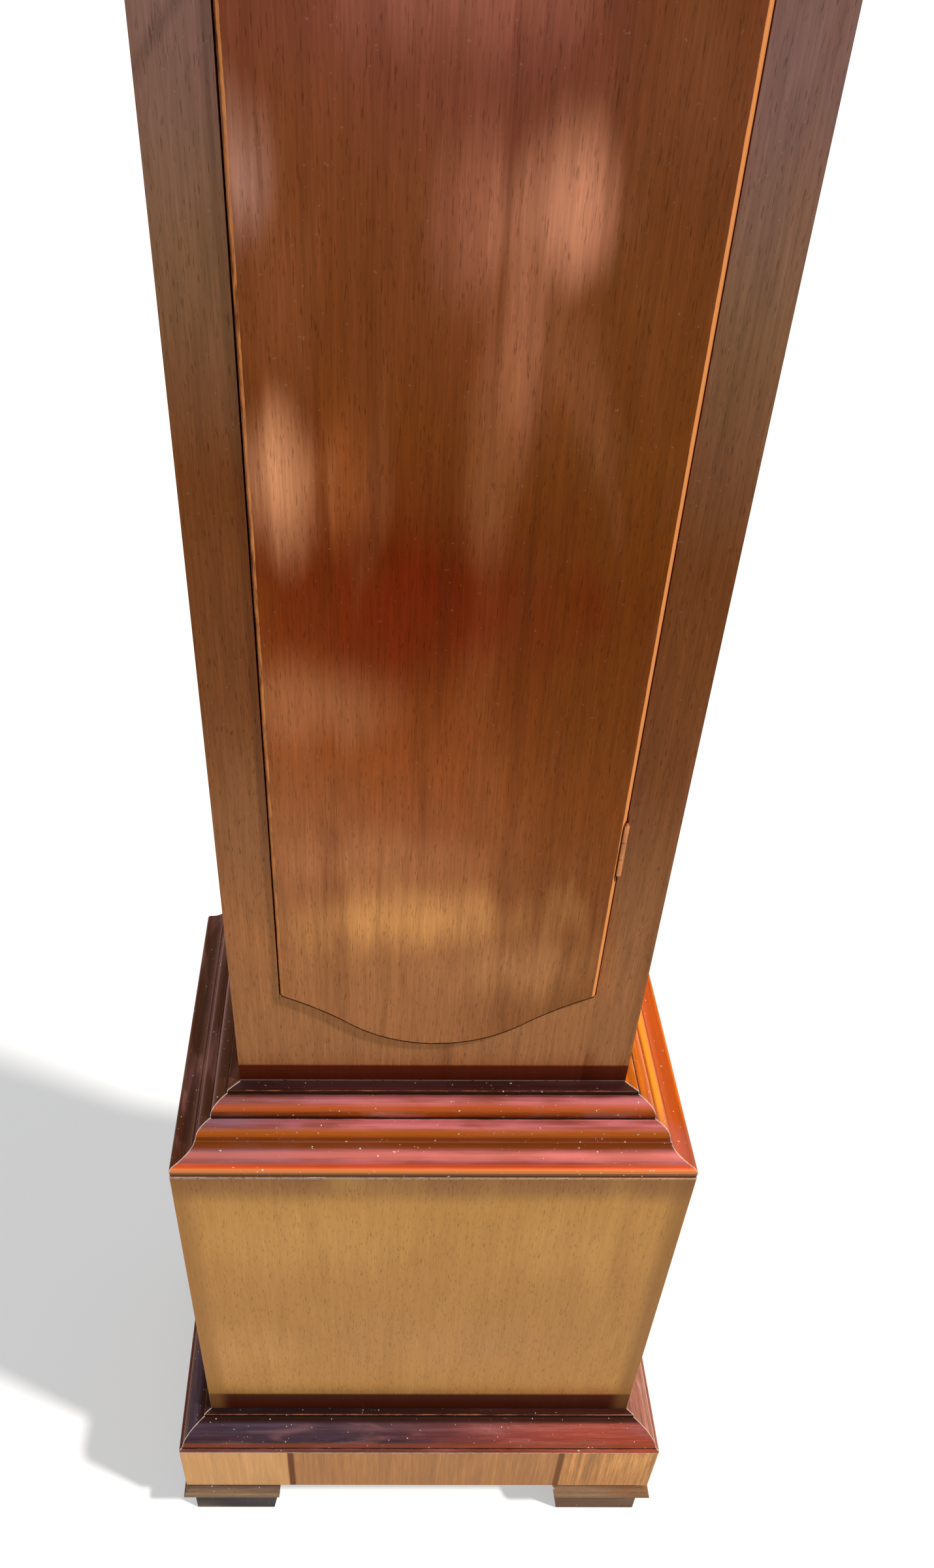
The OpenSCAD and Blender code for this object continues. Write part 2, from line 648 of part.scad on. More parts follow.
module hood_door() color("sienna") in_place() {
  upright(hood_front, rebate_t) difference() {
    break_arch(hood_wide / 2, hood_door_z, door_rail, door_arch_r);
    break_arch(sight_w / 2, z_dial - sight_w / 2, 0, sight_r);
  }
  upright(hood_front + rebate_t, hood_door_t - rebate_t) difference() {
    intersection() {
      break_arch(hood_wide / 2, hood_door_z, door_rail, door_arch_r);
      translate([-arch_ease, 0]) break_arch(hood_wide, hood_door_z, door_rail, door_arch_r);
    }
    break_arch(sight_w / 2 + rebate_w, z_dial - sight_w / 2 - rebate_w, rebate_w, sight_r + rebate_w);
  }
}

module hood_glass() color("lightblue", 0.3) in_place() upright(hood_front + rebate_t, 2)
  break_arch(sight_w / 2 + rebate_w - glass_gap, z_dial - sight_w / 2 - rebate_w + glass_gap,
    rebate_w - glass_gap, sight_r + rebate_w - glass_gap);

module hood_columns() color("sienna") in_place() both_sides() difference() {
  low = hood_door_z + 4;
  high = z_spring + door_rail - 4;
  translate([(sight_w + hood_wide) / 4, hood_front, 0]) rotate_extrude($fn = 48)
    polygon(concat([[0, low], [10.5, low], [10.5, low + 6], [8.5, low + 8], [8.5, low + 12], [7.6, low + 14]],
      [[7.2, high - 14], [8.5, high - 12], [8.5, high - 8], [10.5, high - 6], [10.5, high], [0, high]]));
  board(0, hood_wide, hood_front, hood_front + 30, low - 1, high + 1);
}

module hood_knob() color("goldenrod") in_place() translate([10 - hood_wide / 2, hood_front, z_dial])
  rotate([90, 0, 0]) rotate_extrude($fn = 32)
    polygon([[0, 0], [5, 0], [5, 1], [2.2, 2.5], [2.2, 6], [5, 8.5], [5.8, 11], [4.6, 14], [2, 15.2],
      [0, 15.2]]);

module dial_plate() color("goldenrod") in_place() {
  difference() {
    upright(dial_y, dial_t) break_arch(dial_w / 2, z_dial - dial_w / 2, 3, arch_r);
    along_y([0, 0], dial_y - 1) cylinder(r = 6.5, h = dial_t + 2, $fn = 32);
    along_y(barrel_at, dial_y - 1) cylinder(r = 5.5, h = dial_t + 2, $fn = 32);
  }
  for (x = [-1, 1]) for (z = [plate_low + 12, plate_high - 8])
    arbor([x * (pillar_x - 5), z], dial_y + dial_t, plate_front, 3);
}

// The chapter ring, and the plain ring and boss in the arch
module chapter_ring() color("gainsboro") in_place() {
  translate([0, 0, z_dial]) upright(dial_y - 1.5, 1.5) difference() {
    circle(chapter_r, $fn = 96);
    circle(chapter_r - chapter_w, $fn = 96);
  }
  translate([0, 0, z_spring + 34]) upright(dial_y - 1.5, 1.5) circle(30, $fn = 64);
}

// Corner ornaments: a scrolled leaf in each corner of the square and two in the arch
module spandrel() {
  difference() {
    polygon([[0, 0], [29, 0], [25, 3], [19, 4], [14, 9], [13, 13], [9, 14], [4, 19], [3, 25], [0, 29]]);
    translate([7.5, 7.5]) circle(2.6, $fn = 24);
  }
}

module dial_spandrels() color("goldenrod") in_place() translate([0, 0, z_dial]) upright(dial_y - 1.8, 1.8) {
  e = dial_w / 2 - 6;
  for (x = [-1, 1]) for (z = [-1, 1]) translate([x * e, z * (z > 0 ? e - 3 : e)])
    mirror([x > 0 ? 1 : 0, 0]) mirror([0, z > 0 ? 1 : 0]) spandrel();
  for (x = [-1, 1]) translate([x * 60, z_spring - z_dial + 8]) difference() {
    rotate(x > 0 ? 0 : 90) polygon([[-10, 0], [8, 0], [12, 9], [7, 18], [2, 30], [-3, 24], [0, 14], [-6, 9]]);
    translate([x * 2, 8]) circle(2.2, $fn = 24);
  }
}

module plate_outline() translate([-plate_w / 2, z_dial + plate_low])
  square([plate_w, plate_high - plate_low]);

module front_plate() color("goldenrod") in_place() difference() {
  upright(plate_front, plate_t) plate_outline();
  pivot_hole([0, 0], plate_front, 2);
  pivot_hole(barrel_at, plate_front, 3);
  for (at = [third_at, escape_at, pallet_at]) pivot_hole(at, plate_front, pivot_r);
}

module back_plate() color("goldenrod") in_place() difference() {
  upright(plate_out, plate_t) plate_outline();
  pivot_hole([0, 0], plate_out, pivot_r);
  pivot_hole(barrel_at, plate_out, 2);
  for (at = [third_at, escape_at]) pivot_hole(at, plate_out, pivot_r);
  pivot_hole(pallet_at, plate_out, 6);
}

// Four turned pillars, the stud that carries the minute wheel, and the bolts down into the seatboard
module plate_pillars() color("goldenrod") in_place() {
  for (x = [-1, 1]) for (z = [plate_low + 10, plate_high - 8]) along_y([x * pillar_x, z], plate_in)
    rotate_extrude($fn = 32) polygon([[0, 0], [5, 0], [5, 5], [3.5, 8], [4.5, plate_gap / 2],
      [3.5, plate_gap - 8], [5, plate_gap - 5], [5, plate_gap], [0, plate_gap]]);
  arbor(minute_at, 7, plate_front, 1.8);
}

module back_cock() color("goldenrod") in_place() translate([0, plate_out + plate_t, z_swing]) {
  leg = 12;
  rear = pendulum_y - plate_out - plate_t;
  difference() {
    union() {
      both_sides() board(20, 28, 0, leg, -6, 11);
      board(-28, 28, leg, leg + 3, -6, 11);
      board(-6, 6, leg + 2, rear + 5, 6, 11);
      for (y = [rear - 5, rear + 3]) board(-4, 4, y, y + 2, -4, 7);
    }
    rotate([-90, 0, 0]) translate([0, 0, leg - 1]) cylinder(r = pivot_r + run_fit, h = 5, $fn = 32);
    rotate([-90, 0, 0]) translate([0, 0, rear - 6]) cylinder(r = 1.5 + run_fit, h = 12, $fn = 32);
  }
}

// The drum with its flanges, on an arbor that ends in front in the winding square
module going_barrel() color("goldenrod") in_place() {
  l = drum_l;
  along_y(barrel_at, drum_y) rotate_extrude($fn = 48)
    polygon([[0, 0], [drum_r + 5, 0], [drum_r + 5, 2], [drum_r, 2], [drum_r, l - 2], [drum_r + 5, l - 2],
      [drum_r + 5, l], [0, l]]);
  arbor(barrel_at, plate_in + 0.3, plate_out - 0.3, 3.5);
  arbor(barrel_at, plate_front - 4, plate_in + 1, 3);
  arbor(barrel_at, plate_out - 1, plate_out + plate_t, 2);
  translate([-2.1, -7, z_dial + barrel_at[1] - 2.1]) cube([4.2, plate_front + 4, 4.2]);
}

great_phase = 90;
centre_dir = direction(barrel_at, [0, 0]);

module great_wheel() color("goldenrod") in_place() difference() {
  union() {
    flat_wheel(barrel_at, great_y, 3) wheel_disc(36, 11, 5, 0) wheel_teeth(great_n, great_m, great_phase);
    along_y(barrel_at, great_y - 2) cylinder(r = 7, h = 8, $fn = 32);
  }
  along_y(barrel_at, great_y - 5) cylinder(r = 3.5 + run_fit, h = 14, $fn = 32);
}

// The centre arbor: pinion, centre wheel and cannon pinion, reaching through the dial
module centre_wheel() color("goldenrod") in_place() {
  flat_wheel([0, 0], great_y - 3, 9)
    pinion_teeth(pinion_n, great_m, mesh_phase(centre_dir, great_phase, great_n, pinion_n));
  flat_wheel([0, 0], centre_y, 2) wheel_disc(18, 6, 4, 10) wheel_teeth(centre_n, centre_m, 0);
  along_y([0, 0], centre_y - 1) cylinder(r = 4.5, h = 4, $fn = 32);
  arbor([0, 0], plate_in + 0.3, plate_out - 0.3, arbor_r);
  arbor([0, 0], dial_y - 12, plate_in + 1, 2);
  arbor([0, 0], plate_out - 1, plate_out + plate_t, pivot_r);
  flat_wheel([0, 0], plate_front - 6, 5) pinion_teeth(cannon_n, motion_m, 0);
  arbor([0, 0], dial_y - 10, plate_front - 1, 3.2);
}

// A hand as a flat outline from the centre outwards, half of it given as [distance, half width]
module hand_outline(half) {
  polygon(concat([for (p = half) [p[1], p[0]]], [for (i = [len(half) - 1:-1:0]) [-half[i][1], half[i][0]]]));
}

module minute_hand() color("midnightblue") in_place() translate([0, 0, z_dial])
  upright(dial_y - 9.6, 1) difference() {
  union() {
    circle(6, $fn = 32);
    hand_outline([[-14, 1.2], [4, 1.6], [minute_l * 0.3, 1.4], [minute_l * 0.34, 3.4], [minute_l * 0.4, 1.2],
      [minute_l, 0.4]]);
  }
  circle(3.2, $fn = 32);
}

module third_wheel() color("goldenrod") in_place() {
  dir = direction([0, 0], third_at);
  flat_wheel(third_at, centre_y - 3, 8)
    pinion_teeth(pinion_n, centre_m, mesh_phase(dir, 0, centre_n, pinion_n));
  flat_wheel(third_at, third_y, 1.8) wheel_disc(15.6, 5, 4, 0) wheel_teeth(third_n, third_m, 0);
  along_y(third_at, third_y - 1) cylinder(r = 3.6, h = 4, $fn = 32);
  pivoted_arbor(third_at, arbor_r);
}

module escape_wheel() color("goldenrod") in_place() {
  dir = direction(third_at, escape_at);
  flat_wheel(escape_at, third_y - 3, 8)
    pinion_teeth(pinion_n, third_m, mesh_phase(dir, 0, third_n, pinion_n));
  tooth = [[0, escape_r - 3.2], [4.6, escape_r], [6.2, escape_r - 3.2]];
  flat_wheel(escape_at, escape_y, 1.5) wheel_disc(12, 4, 4, 0)
    polygon([for (i = [0:escape_n - 1]) for (k = tooth)
      let (a = 360 / escape_n * i + k[0]) k[1] * [sin(a), cos(a)]]);
  along_y(escape_at, escape_y - 1) cylinder(r = 3, h = 4, $fn = 32);
  pivoted_arbor(escape_at, arbor_r - 0.2);
}

// The anchor stands clear of the escape teeth at both ends of its rock
pallet_gap = escape_r * sin(swing) + 0.35;
crutch_y = plate_out + plate_t + 4;
crutch_l = 95;

module pallets() color("silver") in_place() {
  reach = pallet_at[1] - escape_at[1];
  flat_wheel(pallet_at, escape_y - 2, 5) difference() {
    union() {
      circle(4.5, $fn = 32);
      polygon([[0, 5], [9, 3], [18, -7], [19.5, -14], [14, -18], [9, -12], [4, -7], [-4, -7], [-9, -12],
        [-14, -18], [-19.5, -14], [-18, -7], [-9, 3]]);
    }
    translate([0, -reach]) circle(escape_r + pallet_gap, $fn = 96);
  }
  arbor(pallet_at, plate_in + 0.3, plate_out + plate_t + 11.7, arbor_r);
  arbor(pallet_at, plate_front, plate_out + plate_t + 14, pivot_r);
  translate([0, 0, z_swing]) {
    upright(crutch_y, 2) difference() {
      union() {
        circle(4, $fn = 32);
        translate([-2, -crutch_l]) square([4, crutch_l]);
        translate([-5, -crutch_l]) square([10, 4]);
      }
    }
    both_sides() board(rod_r + 0.4, rod_r + 2.4, crutch_y + 1, pendulum_y + 4, -crutch_l, 4 - crutch_l);
  }
}

module minute_wheel() color("goldenrod") in_place() difference() {
  union() {
    dir = direction([0, 0], minute_at);
    flat_wheel(minute_at, plate_front - 5, 2)
      wheel_teeth(minute_n, motion_m, mesh_phase(dir, 0, cannon_n, minute_n));
    flat_wheel(minute_at, plate_front - 16, 12) pinion_teeth(nut_n, motion_m, 0);
  }
  along_y(minute_at, plate_front - 20) cylinder(r = 1.8 + run_fit, h = 22, $fn = 32);
}

module hour_wheel() color("goldenrod") in_place() difference() {
  union() {
    dir = direction(minute_at, [0, 0]);
    flat_wheel([0, 0], plate_front - 14, 2)
      wheel_teeth(hour_n, motion_m, mesh_phase(dir, 0, nut_n, hour_n));
    along_y([0, 0], dial_y - 7) cylinder(r = 4.8, h = plate_front - 5 - dial_y, $fn = 32);
  }
  along_y([0, 0], dial_y - 8) cylinder(r = 3.2 + run_fit, h = plate_front, $fn = 32);
}

// At rest the hands show ten past ten
hour_angle = -55;
minute_angle = 60;

module hour_hand() color("midnightblue") in_place() translate([0, 0, z_dial])
  upright(dial_y - 6.6, 1) difference() {
  rotate(-hour_angle) union() {
    circle(8, $fn = 32);
    hand_outline([[-12, 1.4], [6, 2.2], [hour_l * 0.42, 1.8], [hour_l * 0.56, 6.5], [hour_l * 0.68, 5.2],
      [hour_l * 0.78, 1.8], [hour_l, 0.5]]);
  }
  circle(4.8, $fn = 32);
}

module pendulum_rod() color("silver") in_place() translate([0, pendulum_y, z_swing]) {
  foot = -pendulum_l - bob_r - 22;
  board(-4, 4, -2.6, 2.6, -7, 5.5);
  rotate([-90, 0, 0]) translate([0, 0, -5]) cylinder(r = 1.5, h = 10, $fn = 32);
  board(-4, 4, -0.3, 0.3, -spring_l, -6);
  board(-4, 4, -2.6, 2.6, -spring_l - 10, -spring_l + 1);
  translate([0, 0, foot]) cylinder(r = rod_r, h = -foot - spring_l - 9, $fn = 32);
}

// The bob, and the rating nut that carries it
module pendulum_bob() color("goldenrod") in_place() translate([0, pendulum_y, z_bob]) difference() {
  union() {
    rotate([-90, 0, 0]) rotate_extrude($fn = 96) polygon(concat([[0, -bob_t / 2]],
      [for (i = [1:6]) [bob_r * sin(15 * i), -1.5 - (bob_t / 2 - 1.5) * cos(15 * i)]],
      [for (i = [6:-1:1]) [bob_r * sin(15 * i), 1.5 + (bob_t / 2 - 1.5) * cos(15 * i)]], [[0, bob_t / 2]]));
    translate([0, 0, -bob_r - 10]) cylinder(r = 8, h = 7, $fn = 32);
    translate([0, 0, -bob_r - 3.5]) cylinder(r = 4, h = 5, $fn = 32);
  }
  translate([0, 0, -bob_r - 20]) cylinder(r = rod_r, h = 2 * bob_r + 40, $fn = 32);
}

module at_weight() translate([pulley_x, line_y, 0]) children();

module weight() color("goldenrod") in_place() at_weight() translate([0, 0, weight_top])
  rotate_extrude($fn = 64) polygon([[0, 0], [weight_r - 5, 0], [weight_r - 4, -2], [weight_r - 1, -3],
    [weight_r, -5], [weight_r, 5 - weight_h], [weight_r - 1, 3 - weight_h], [weight_r - 4, 2 - weight_h],
    [weight_r - 5, -weight_h], [0, -weight_h]]);

// The stirrup: two cheeks with the pulley's axle across them, and a stem down into the weight
module weight_stirrup() color("goldenrod") in_place() at_weight() {
  for (y = [-7, 5]) board(-3, 3, y, y + 2, z_pulley - pulley_r - 9, z_pulley + 5);
  board(-3, 3, -7, 7, z_pulley - pulley_r - 11, z_pulley - pulley_r - 8);
  translate([0, 0, weight_top]) cylinder(r = 2.5, h = z_pulley - pulley_r - 10 - weight_top, $fn = 32);
  translate([0, -7, z_pulley]) rotate([-90, 0, 0]) cylinder(r = 1.5, h = 14, $fn = 32);
}

module weight_pulley() color("goldenrod") in_place() at_weight() translate([0, -3, z_pulley])
  rotate([-90, 0, 0]) rotate_extrude($fn = 64) polygon([[1.5 + run_fit, -0.5], [5, -0.5], [5, 0.6],
    [pulley_r + 1.6, 0.6], [pulley_r - line_r - slide_gap, 2.2], [pulley_r - line_r - slide_gap, 3.8],
    [pulley_r + 1.6, 5.4], [5, 5.4], [5, 6.5], [1.5 + run_fit, 6.5]]);

// The gut line: round the drum, down to the pulley, and up to its knot on the seatboard
module weight_line() color("wheat") in_place() translate([0, line_y, 0]) {
  z_drum = z_dial + barrel_at[1];
  translate([-line_turn_r, 0, z_pulley]) cylinder(r = line_r, h = z_drum - z_pulley, $fn = 24);
  translate([pulley_x + pulley_r, 0, z_pulley]) cylinder(r = line_r, h = z_seat + 1 - z_pulley, $fn = 24);
  translate([pulley_x + pulley_r, 0, z_seat]) cylinder(r = 3, h = 4, $fn = 32);
  translate([pulley_x, 0, z_pulley]) rotate([90, 0, 0]) rotate_extrude(angle = -180, $fn = 64)
    translate([pulley_r, 0]) circle(line_r, $fn = 24);
  translate([0, 0, z_drum]) rotate([90, 0, 0]) rotate_extrude(angle = 180, $fn = 64)
    translate([line_turn_r, 0]) circle(line_r, $fn = 24);
}

backboard();
trunk_side_left();
trunk_side_right();
trunk_stiles();
trunk_top_rail();
trunk_bottom_rail();
base_front();
base_side_left();
base_side_right();
base_floor();
plinth_boards();
plinth_moulding();
waist_moulding();
throat_moulding();
bracket_feet();
glue_blocks();
seatboard();
trunk_hinge_leaves();
trunk_door();
door_hinge_leaves();
door_lock();
lock_bolt();
door_key();
escutcheon();
hood_side_left();
hood_side_right();
hood_rail();
hood_mask();
hood_top();
hood_head();
hood_cornice();
hood_hinge_leaves();
hood_door();
hood_glass();
hood_columns();
hood_knob();
hood_door_leaves();
dial_plate();
chapter_ring();
dial_spandrels();
front_plate();
back_plate();
plate_pillars();
back_cock();
going_barrel();
great_wheel();
centre_wheel();
minute_hand();
third_wheel();
escape_wheel();
pallets();
minute_wheel();
hour_wheel();
hour_hand();
pendulum_rod();
pendulum_bob();
weight();
weight_stirrup();
weight_pulley();
weight_line();
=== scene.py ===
import json
import math
import bpy
import bmesh
import numpy as np
from mathutils import Matrix, Vector

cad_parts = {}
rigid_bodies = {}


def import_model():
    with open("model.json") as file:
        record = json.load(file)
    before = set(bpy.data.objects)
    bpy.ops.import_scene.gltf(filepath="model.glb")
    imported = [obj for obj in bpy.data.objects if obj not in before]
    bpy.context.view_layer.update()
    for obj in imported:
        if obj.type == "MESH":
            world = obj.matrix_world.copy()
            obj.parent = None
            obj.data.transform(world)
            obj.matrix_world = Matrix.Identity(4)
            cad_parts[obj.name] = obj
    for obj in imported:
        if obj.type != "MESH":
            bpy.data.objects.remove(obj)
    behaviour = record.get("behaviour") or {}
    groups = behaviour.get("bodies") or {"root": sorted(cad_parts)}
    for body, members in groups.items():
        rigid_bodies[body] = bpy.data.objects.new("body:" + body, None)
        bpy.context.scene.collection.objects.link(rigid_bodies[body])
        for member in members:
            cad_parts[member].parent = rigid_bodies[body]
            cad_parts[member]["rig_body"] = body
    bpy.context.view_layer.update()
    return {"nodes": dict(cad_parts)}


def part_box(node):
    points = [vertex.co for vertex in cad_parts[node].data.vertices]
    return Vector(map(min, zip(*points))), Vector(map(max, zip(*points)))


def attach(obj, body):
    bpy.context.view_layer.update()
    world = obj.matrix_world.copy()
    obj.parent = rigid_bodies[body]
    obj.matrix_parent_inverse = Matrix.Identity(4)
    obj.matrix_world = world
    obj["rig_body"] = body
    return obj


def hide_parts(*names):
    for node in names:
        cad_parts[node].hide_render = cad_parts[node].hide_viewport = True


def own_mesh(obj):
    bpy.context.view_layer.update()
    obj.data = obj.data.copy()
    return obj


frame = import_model()
nodes = frame["nodes"]
mm = 0.001

# Places of the case, taken from the frame
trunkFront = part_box("trunk_stiles")[0].y
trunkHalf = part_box("trunk_side_right")[1].x
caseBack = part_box("backboard")[1].y
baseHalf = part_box("base_side_right")[1].x
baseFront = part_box("base_front")[0].y
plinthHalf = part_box("plinth_boards")[1].x
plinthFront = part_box("plinth_boards")[0].y
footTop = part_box("plinth_boards")[0].z
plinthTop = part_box("plinth_moulding")[1].z
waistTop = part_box("waist_moulding")[1].z
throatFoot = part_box("throat_moulding")[0].z
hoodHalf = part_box("hood_side_right")[1].x
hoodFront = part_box("hood_head")[0].y
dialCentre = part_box("hour_wheel")[0].lerp(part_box("hour_wheel")[1], 0.5).z
print("frame loaded:", len(nodes), "pieces")

# Camera: where the picture was taken from, with its angles in degrees
cameraSettings = {"place": (-0.04066, -0.53045, 1.1348), "pitch": 38.43, "yaw": 0.215, "roll": 0.312, "lens": 26.86,
                  "sensor": 36, "shift": 0.059, "nearest": 0.02}


# the lens looks ahead by the yaw, down by the pitch, and is turned about its own line by the roll
def makeCamera(settings):
    pitch, yaw, roll = (math.radians(settings[key]) for key in ("pitch", "yaw", "roll"))
    level = Vector((math.sin(yaw), math.cos(yaw), 0))
    side = Vector((math.cos(yaw), -math.sin(yaw), 0))
    upward = Vector((0, 0, 1))
    ahead = level * math.cos(pitch) - upward * math.sin(pitch)
    above = level * math.sin(pitch) + upward * math.cos(pitch)
    right = side * math.cos(roll) + above * math.sin(roll)
    top = above * math.cos(roll) - side * math.sin(roll)
    data = bpy.data.cameras.new("photoCamera")
    data.lens = settings["lens"]
    data.sensor_width = settings["sensor"]
    data.shift_x = settings["shift"]
    data.clip_start = settings["nearest"]
    camera = bpy.data.objects.new("photoCamera", data)
    bpy.context.scene.collection.objects.link(camera)
    matrix = camera.matrix_world.copy()
    for row in range(3):
        matrix[row][0], matrix[row][1], matrix[row][2] = right[row], top[row], -ahead[row]
        matrix[row][3] = settings["place"][row]
    camera.matrix_world = matrix
    bpy.context.scene.camera = camera


makeCamera(cameraSettings)


# Node helpers: a value is a plain number or colour, or the output of another node
def put(tree, kind, inputs=None, **settings):
    node = tree.nodes.new(kind)
    for name, value in settings.items():
        setattr(node, name, value)
    for key, value in (inputs or {}).items():
        if isinstance(value, bpy.types.NodeSocket):
            tree.links.new(value, node.inputs[key])
        elif value is not None:
            node.inputs[key].default_value = value
    return node


# a colour gets its fourth channel, and a number becomes a grey
def paint(value):
    if isinstance(value, (tuple, list)):
        return (*value[:3], 1)
    return value if isinstance(value, bpy.types.NodeSocket) else (value, value, value, 1)


# the first colour, with the second laid over it by the amount
def blended(tree, amount, first, second, way="MIX"):
    return put(tree, "ShaderNodeMix", {0: amount, 6: paint(first), 7: paint(second)}, data_type="RGBA",
               blend_type=way).outputs[2]


def reckon(tree, operation, first, second, clamp=False):
    return put(tree, "ShaderNodeMath", {0: first, 1: second}, operation=operation, use_clamp=clamp).outputs[0]


def times(tree, first, second):
    return reckon(tree, "MULTIPLY", first, second)


def plus(tree, first, second, clamp=False):
    return reckon(tree, "ADD", first, second, clamp)


# values from start to end are spread over low to high, in a straight line or by a smooth step
def scaled(tree, value, start, end, low=0.0, high=1.0, curve="LINEAR"):
    spread = {"Value": value, "From Min": start, "From Max": end, "To Min": low, "To Max": high}
    return put(tree, "ShaderNodeMapRange", spread, interpolation_type=curve).outputs[0]


def eased(tree, value, start, end, low=0.0, high=1.0):
    return scaled(tree, value, start, end, low, high, "SMOOTHSTEP")


# a value with a noise of 0 to 1 added to it as -reach to reach
def shaken(tree, value, noise, reach):
    return plus(tree, value, scaled(tree, noise, 0, 1, -reach, reach))


# noise on a place that is scaled and shifted first
def grained(tree, vector, scale, shift=(0, 0, 0), detail=2.0, rough=0.5, twist=0.0):
    spot = put(tree, "ShaderNodeMapping", {"Vector": vector, "Scale": scale, "Location": shift}).outputs[0]
    return put(tree, "ShaderNodeTexNoise", {"Vector": spot, "Scale": 1.0, "Detail": detail, "Roughness": rough,
                                            "Distortion": twist}).outputs[0]


# distance from the line through x and z that runs along y, each way in shares of its own size
def distanceFrom(tree, vector, x, z, across=1, tall=1):
    spot = put(tree, "ShaderNodeMapping", {"Vector": vector, "Scale": (1 / across, 0, 1 / tall),
                                           "Location": (-x / across, 0, -z / tall)}).outputs[0]
    return put(tree, "ShaderNodeVectorMath", {0: spot}, operation="LENGTH").outputs["Value"]


# a ramp of colours, each at its own value between start and end
def toned(tree, value, stops, start=0.0, end=1.0):
    node = put(tree, "ShaderNodeValToRGB", {0: scaled(tree, value, start, end)})
    ramp = node.color_ramp
    ramp.interpolation = "EASE" if len(stops) < 3 else "LINEAR"
    while len(ramp.elements) < len(stops):
        ramp.elements.new(0.5)
    for element, (place, color) in zip(ramp.elements, sorted(stops)):
        element.position = min(1, max(0, (place - start) / (end - start)))
        element.color = paint(color)
    return node.outputs[0]


def newFinish(name, **sockets):
    finish = bpy.data.materials.new(name)
    finish.use_nodes = True
    tree = finish.node_tree
    tree.nodes.clear()
    shader = put(tree, "ShaderNodeBsdfPrincipled")
    for key, value in sockets.items():
        shader.inputs[key.replace("_", " ")].default_value = value
    put(tree, "ShaderNodeOutputMaterial", {0: shader.outputs[0]})
    return finish, tree, shader


# joins colour, roughness and a bump of the given strength and depth to the shader
def dress(tree, shader, color, rough, height, strength, depth):
    bump = put(tree, "ShaderNodeBump", {"Strength": strength, "Distance": depth, "Height": height})
    for socket, value in (("Base Color", color), ("Roughness", rough), ("Normal", bump.outputs[0])):
        tree.links.new(value, shader.inputs[socket])


# Polished mahogany
# heights: ground colours by height; side: from and to along x, colour, amount; front: y at which the painted reflection
# patches end and begin
# painted reflection patches: x, z, half width, half height, colour, amount; up: colour of the painted sky reflection,
# from and to of the slope, amount, painted-shade colour at left
# bands: axis, from, to, softness, colour, amount, share broken up; marks of wear and of painted light and shade: mark,
# from, to, colour, amount
woodDefaults = {
    "axis": 2, "uv": False, "shift": (0.0, 0.0, 0.0), "heights": [(0.0, (0.25, 0.07, 0.02)), (1.0, (0.25, 0.07, 0.02))],
    "span": (0.0, 1.8), "tilt": 0.0, "drift": 0.05, "side": None, "light": (0.45, 0.2, 0.1), "lightAmount": 0.35,
    "lightSize": 0.05, "dark": (0.05, 0.008, 0.002), "darkAmount": 0.35, "streak": 0.13, "fine": 0.16, "pores": 0.55,
    "metal": 0.35, "gloss": 0.14, "polish": 0.16, "ripple": 0.12, "rippleDepth": 0.0006, "dust": 0.05,
    "dustTint": (0.75, 0.68, 0.62), "bands": (), "worn": (), "paintedReflections": (), "patchEdge": (1.35, 0.1),
    "front": (-0.046, -0.052), "up": None, "leftEnd": (-0.14, -0.03), "tint": (1.0, 0.55, 0.22)}
# noise that follows the grain: width across it, share of that along it, detail, roughness, twist
grainLayers = {"ribbon": (0.014, 0.06, 3.0, 0.55, 0.3), "streak": (0.0032, 0.03, 3.0, 0.6, 0.0),
               "fibre": (0.0009, 0.035, 2.0, 0.55, 0.0), "pore": (0.0006, 0.09, 1.0, 0.5, 0.0),
               "patchy": (0.002, 0.12, 3.0, 0.7, 0.0), "ripple": (0.0035, 0.3, 2.0, 0.5, 0.0)}


# the scale of a noise: one over its size, and less along the grain
def alongGrain(axis, size, stretch):
    scale = [1 / size] * 3
    scale[axis] = stretch / size
    return tuple(scale)


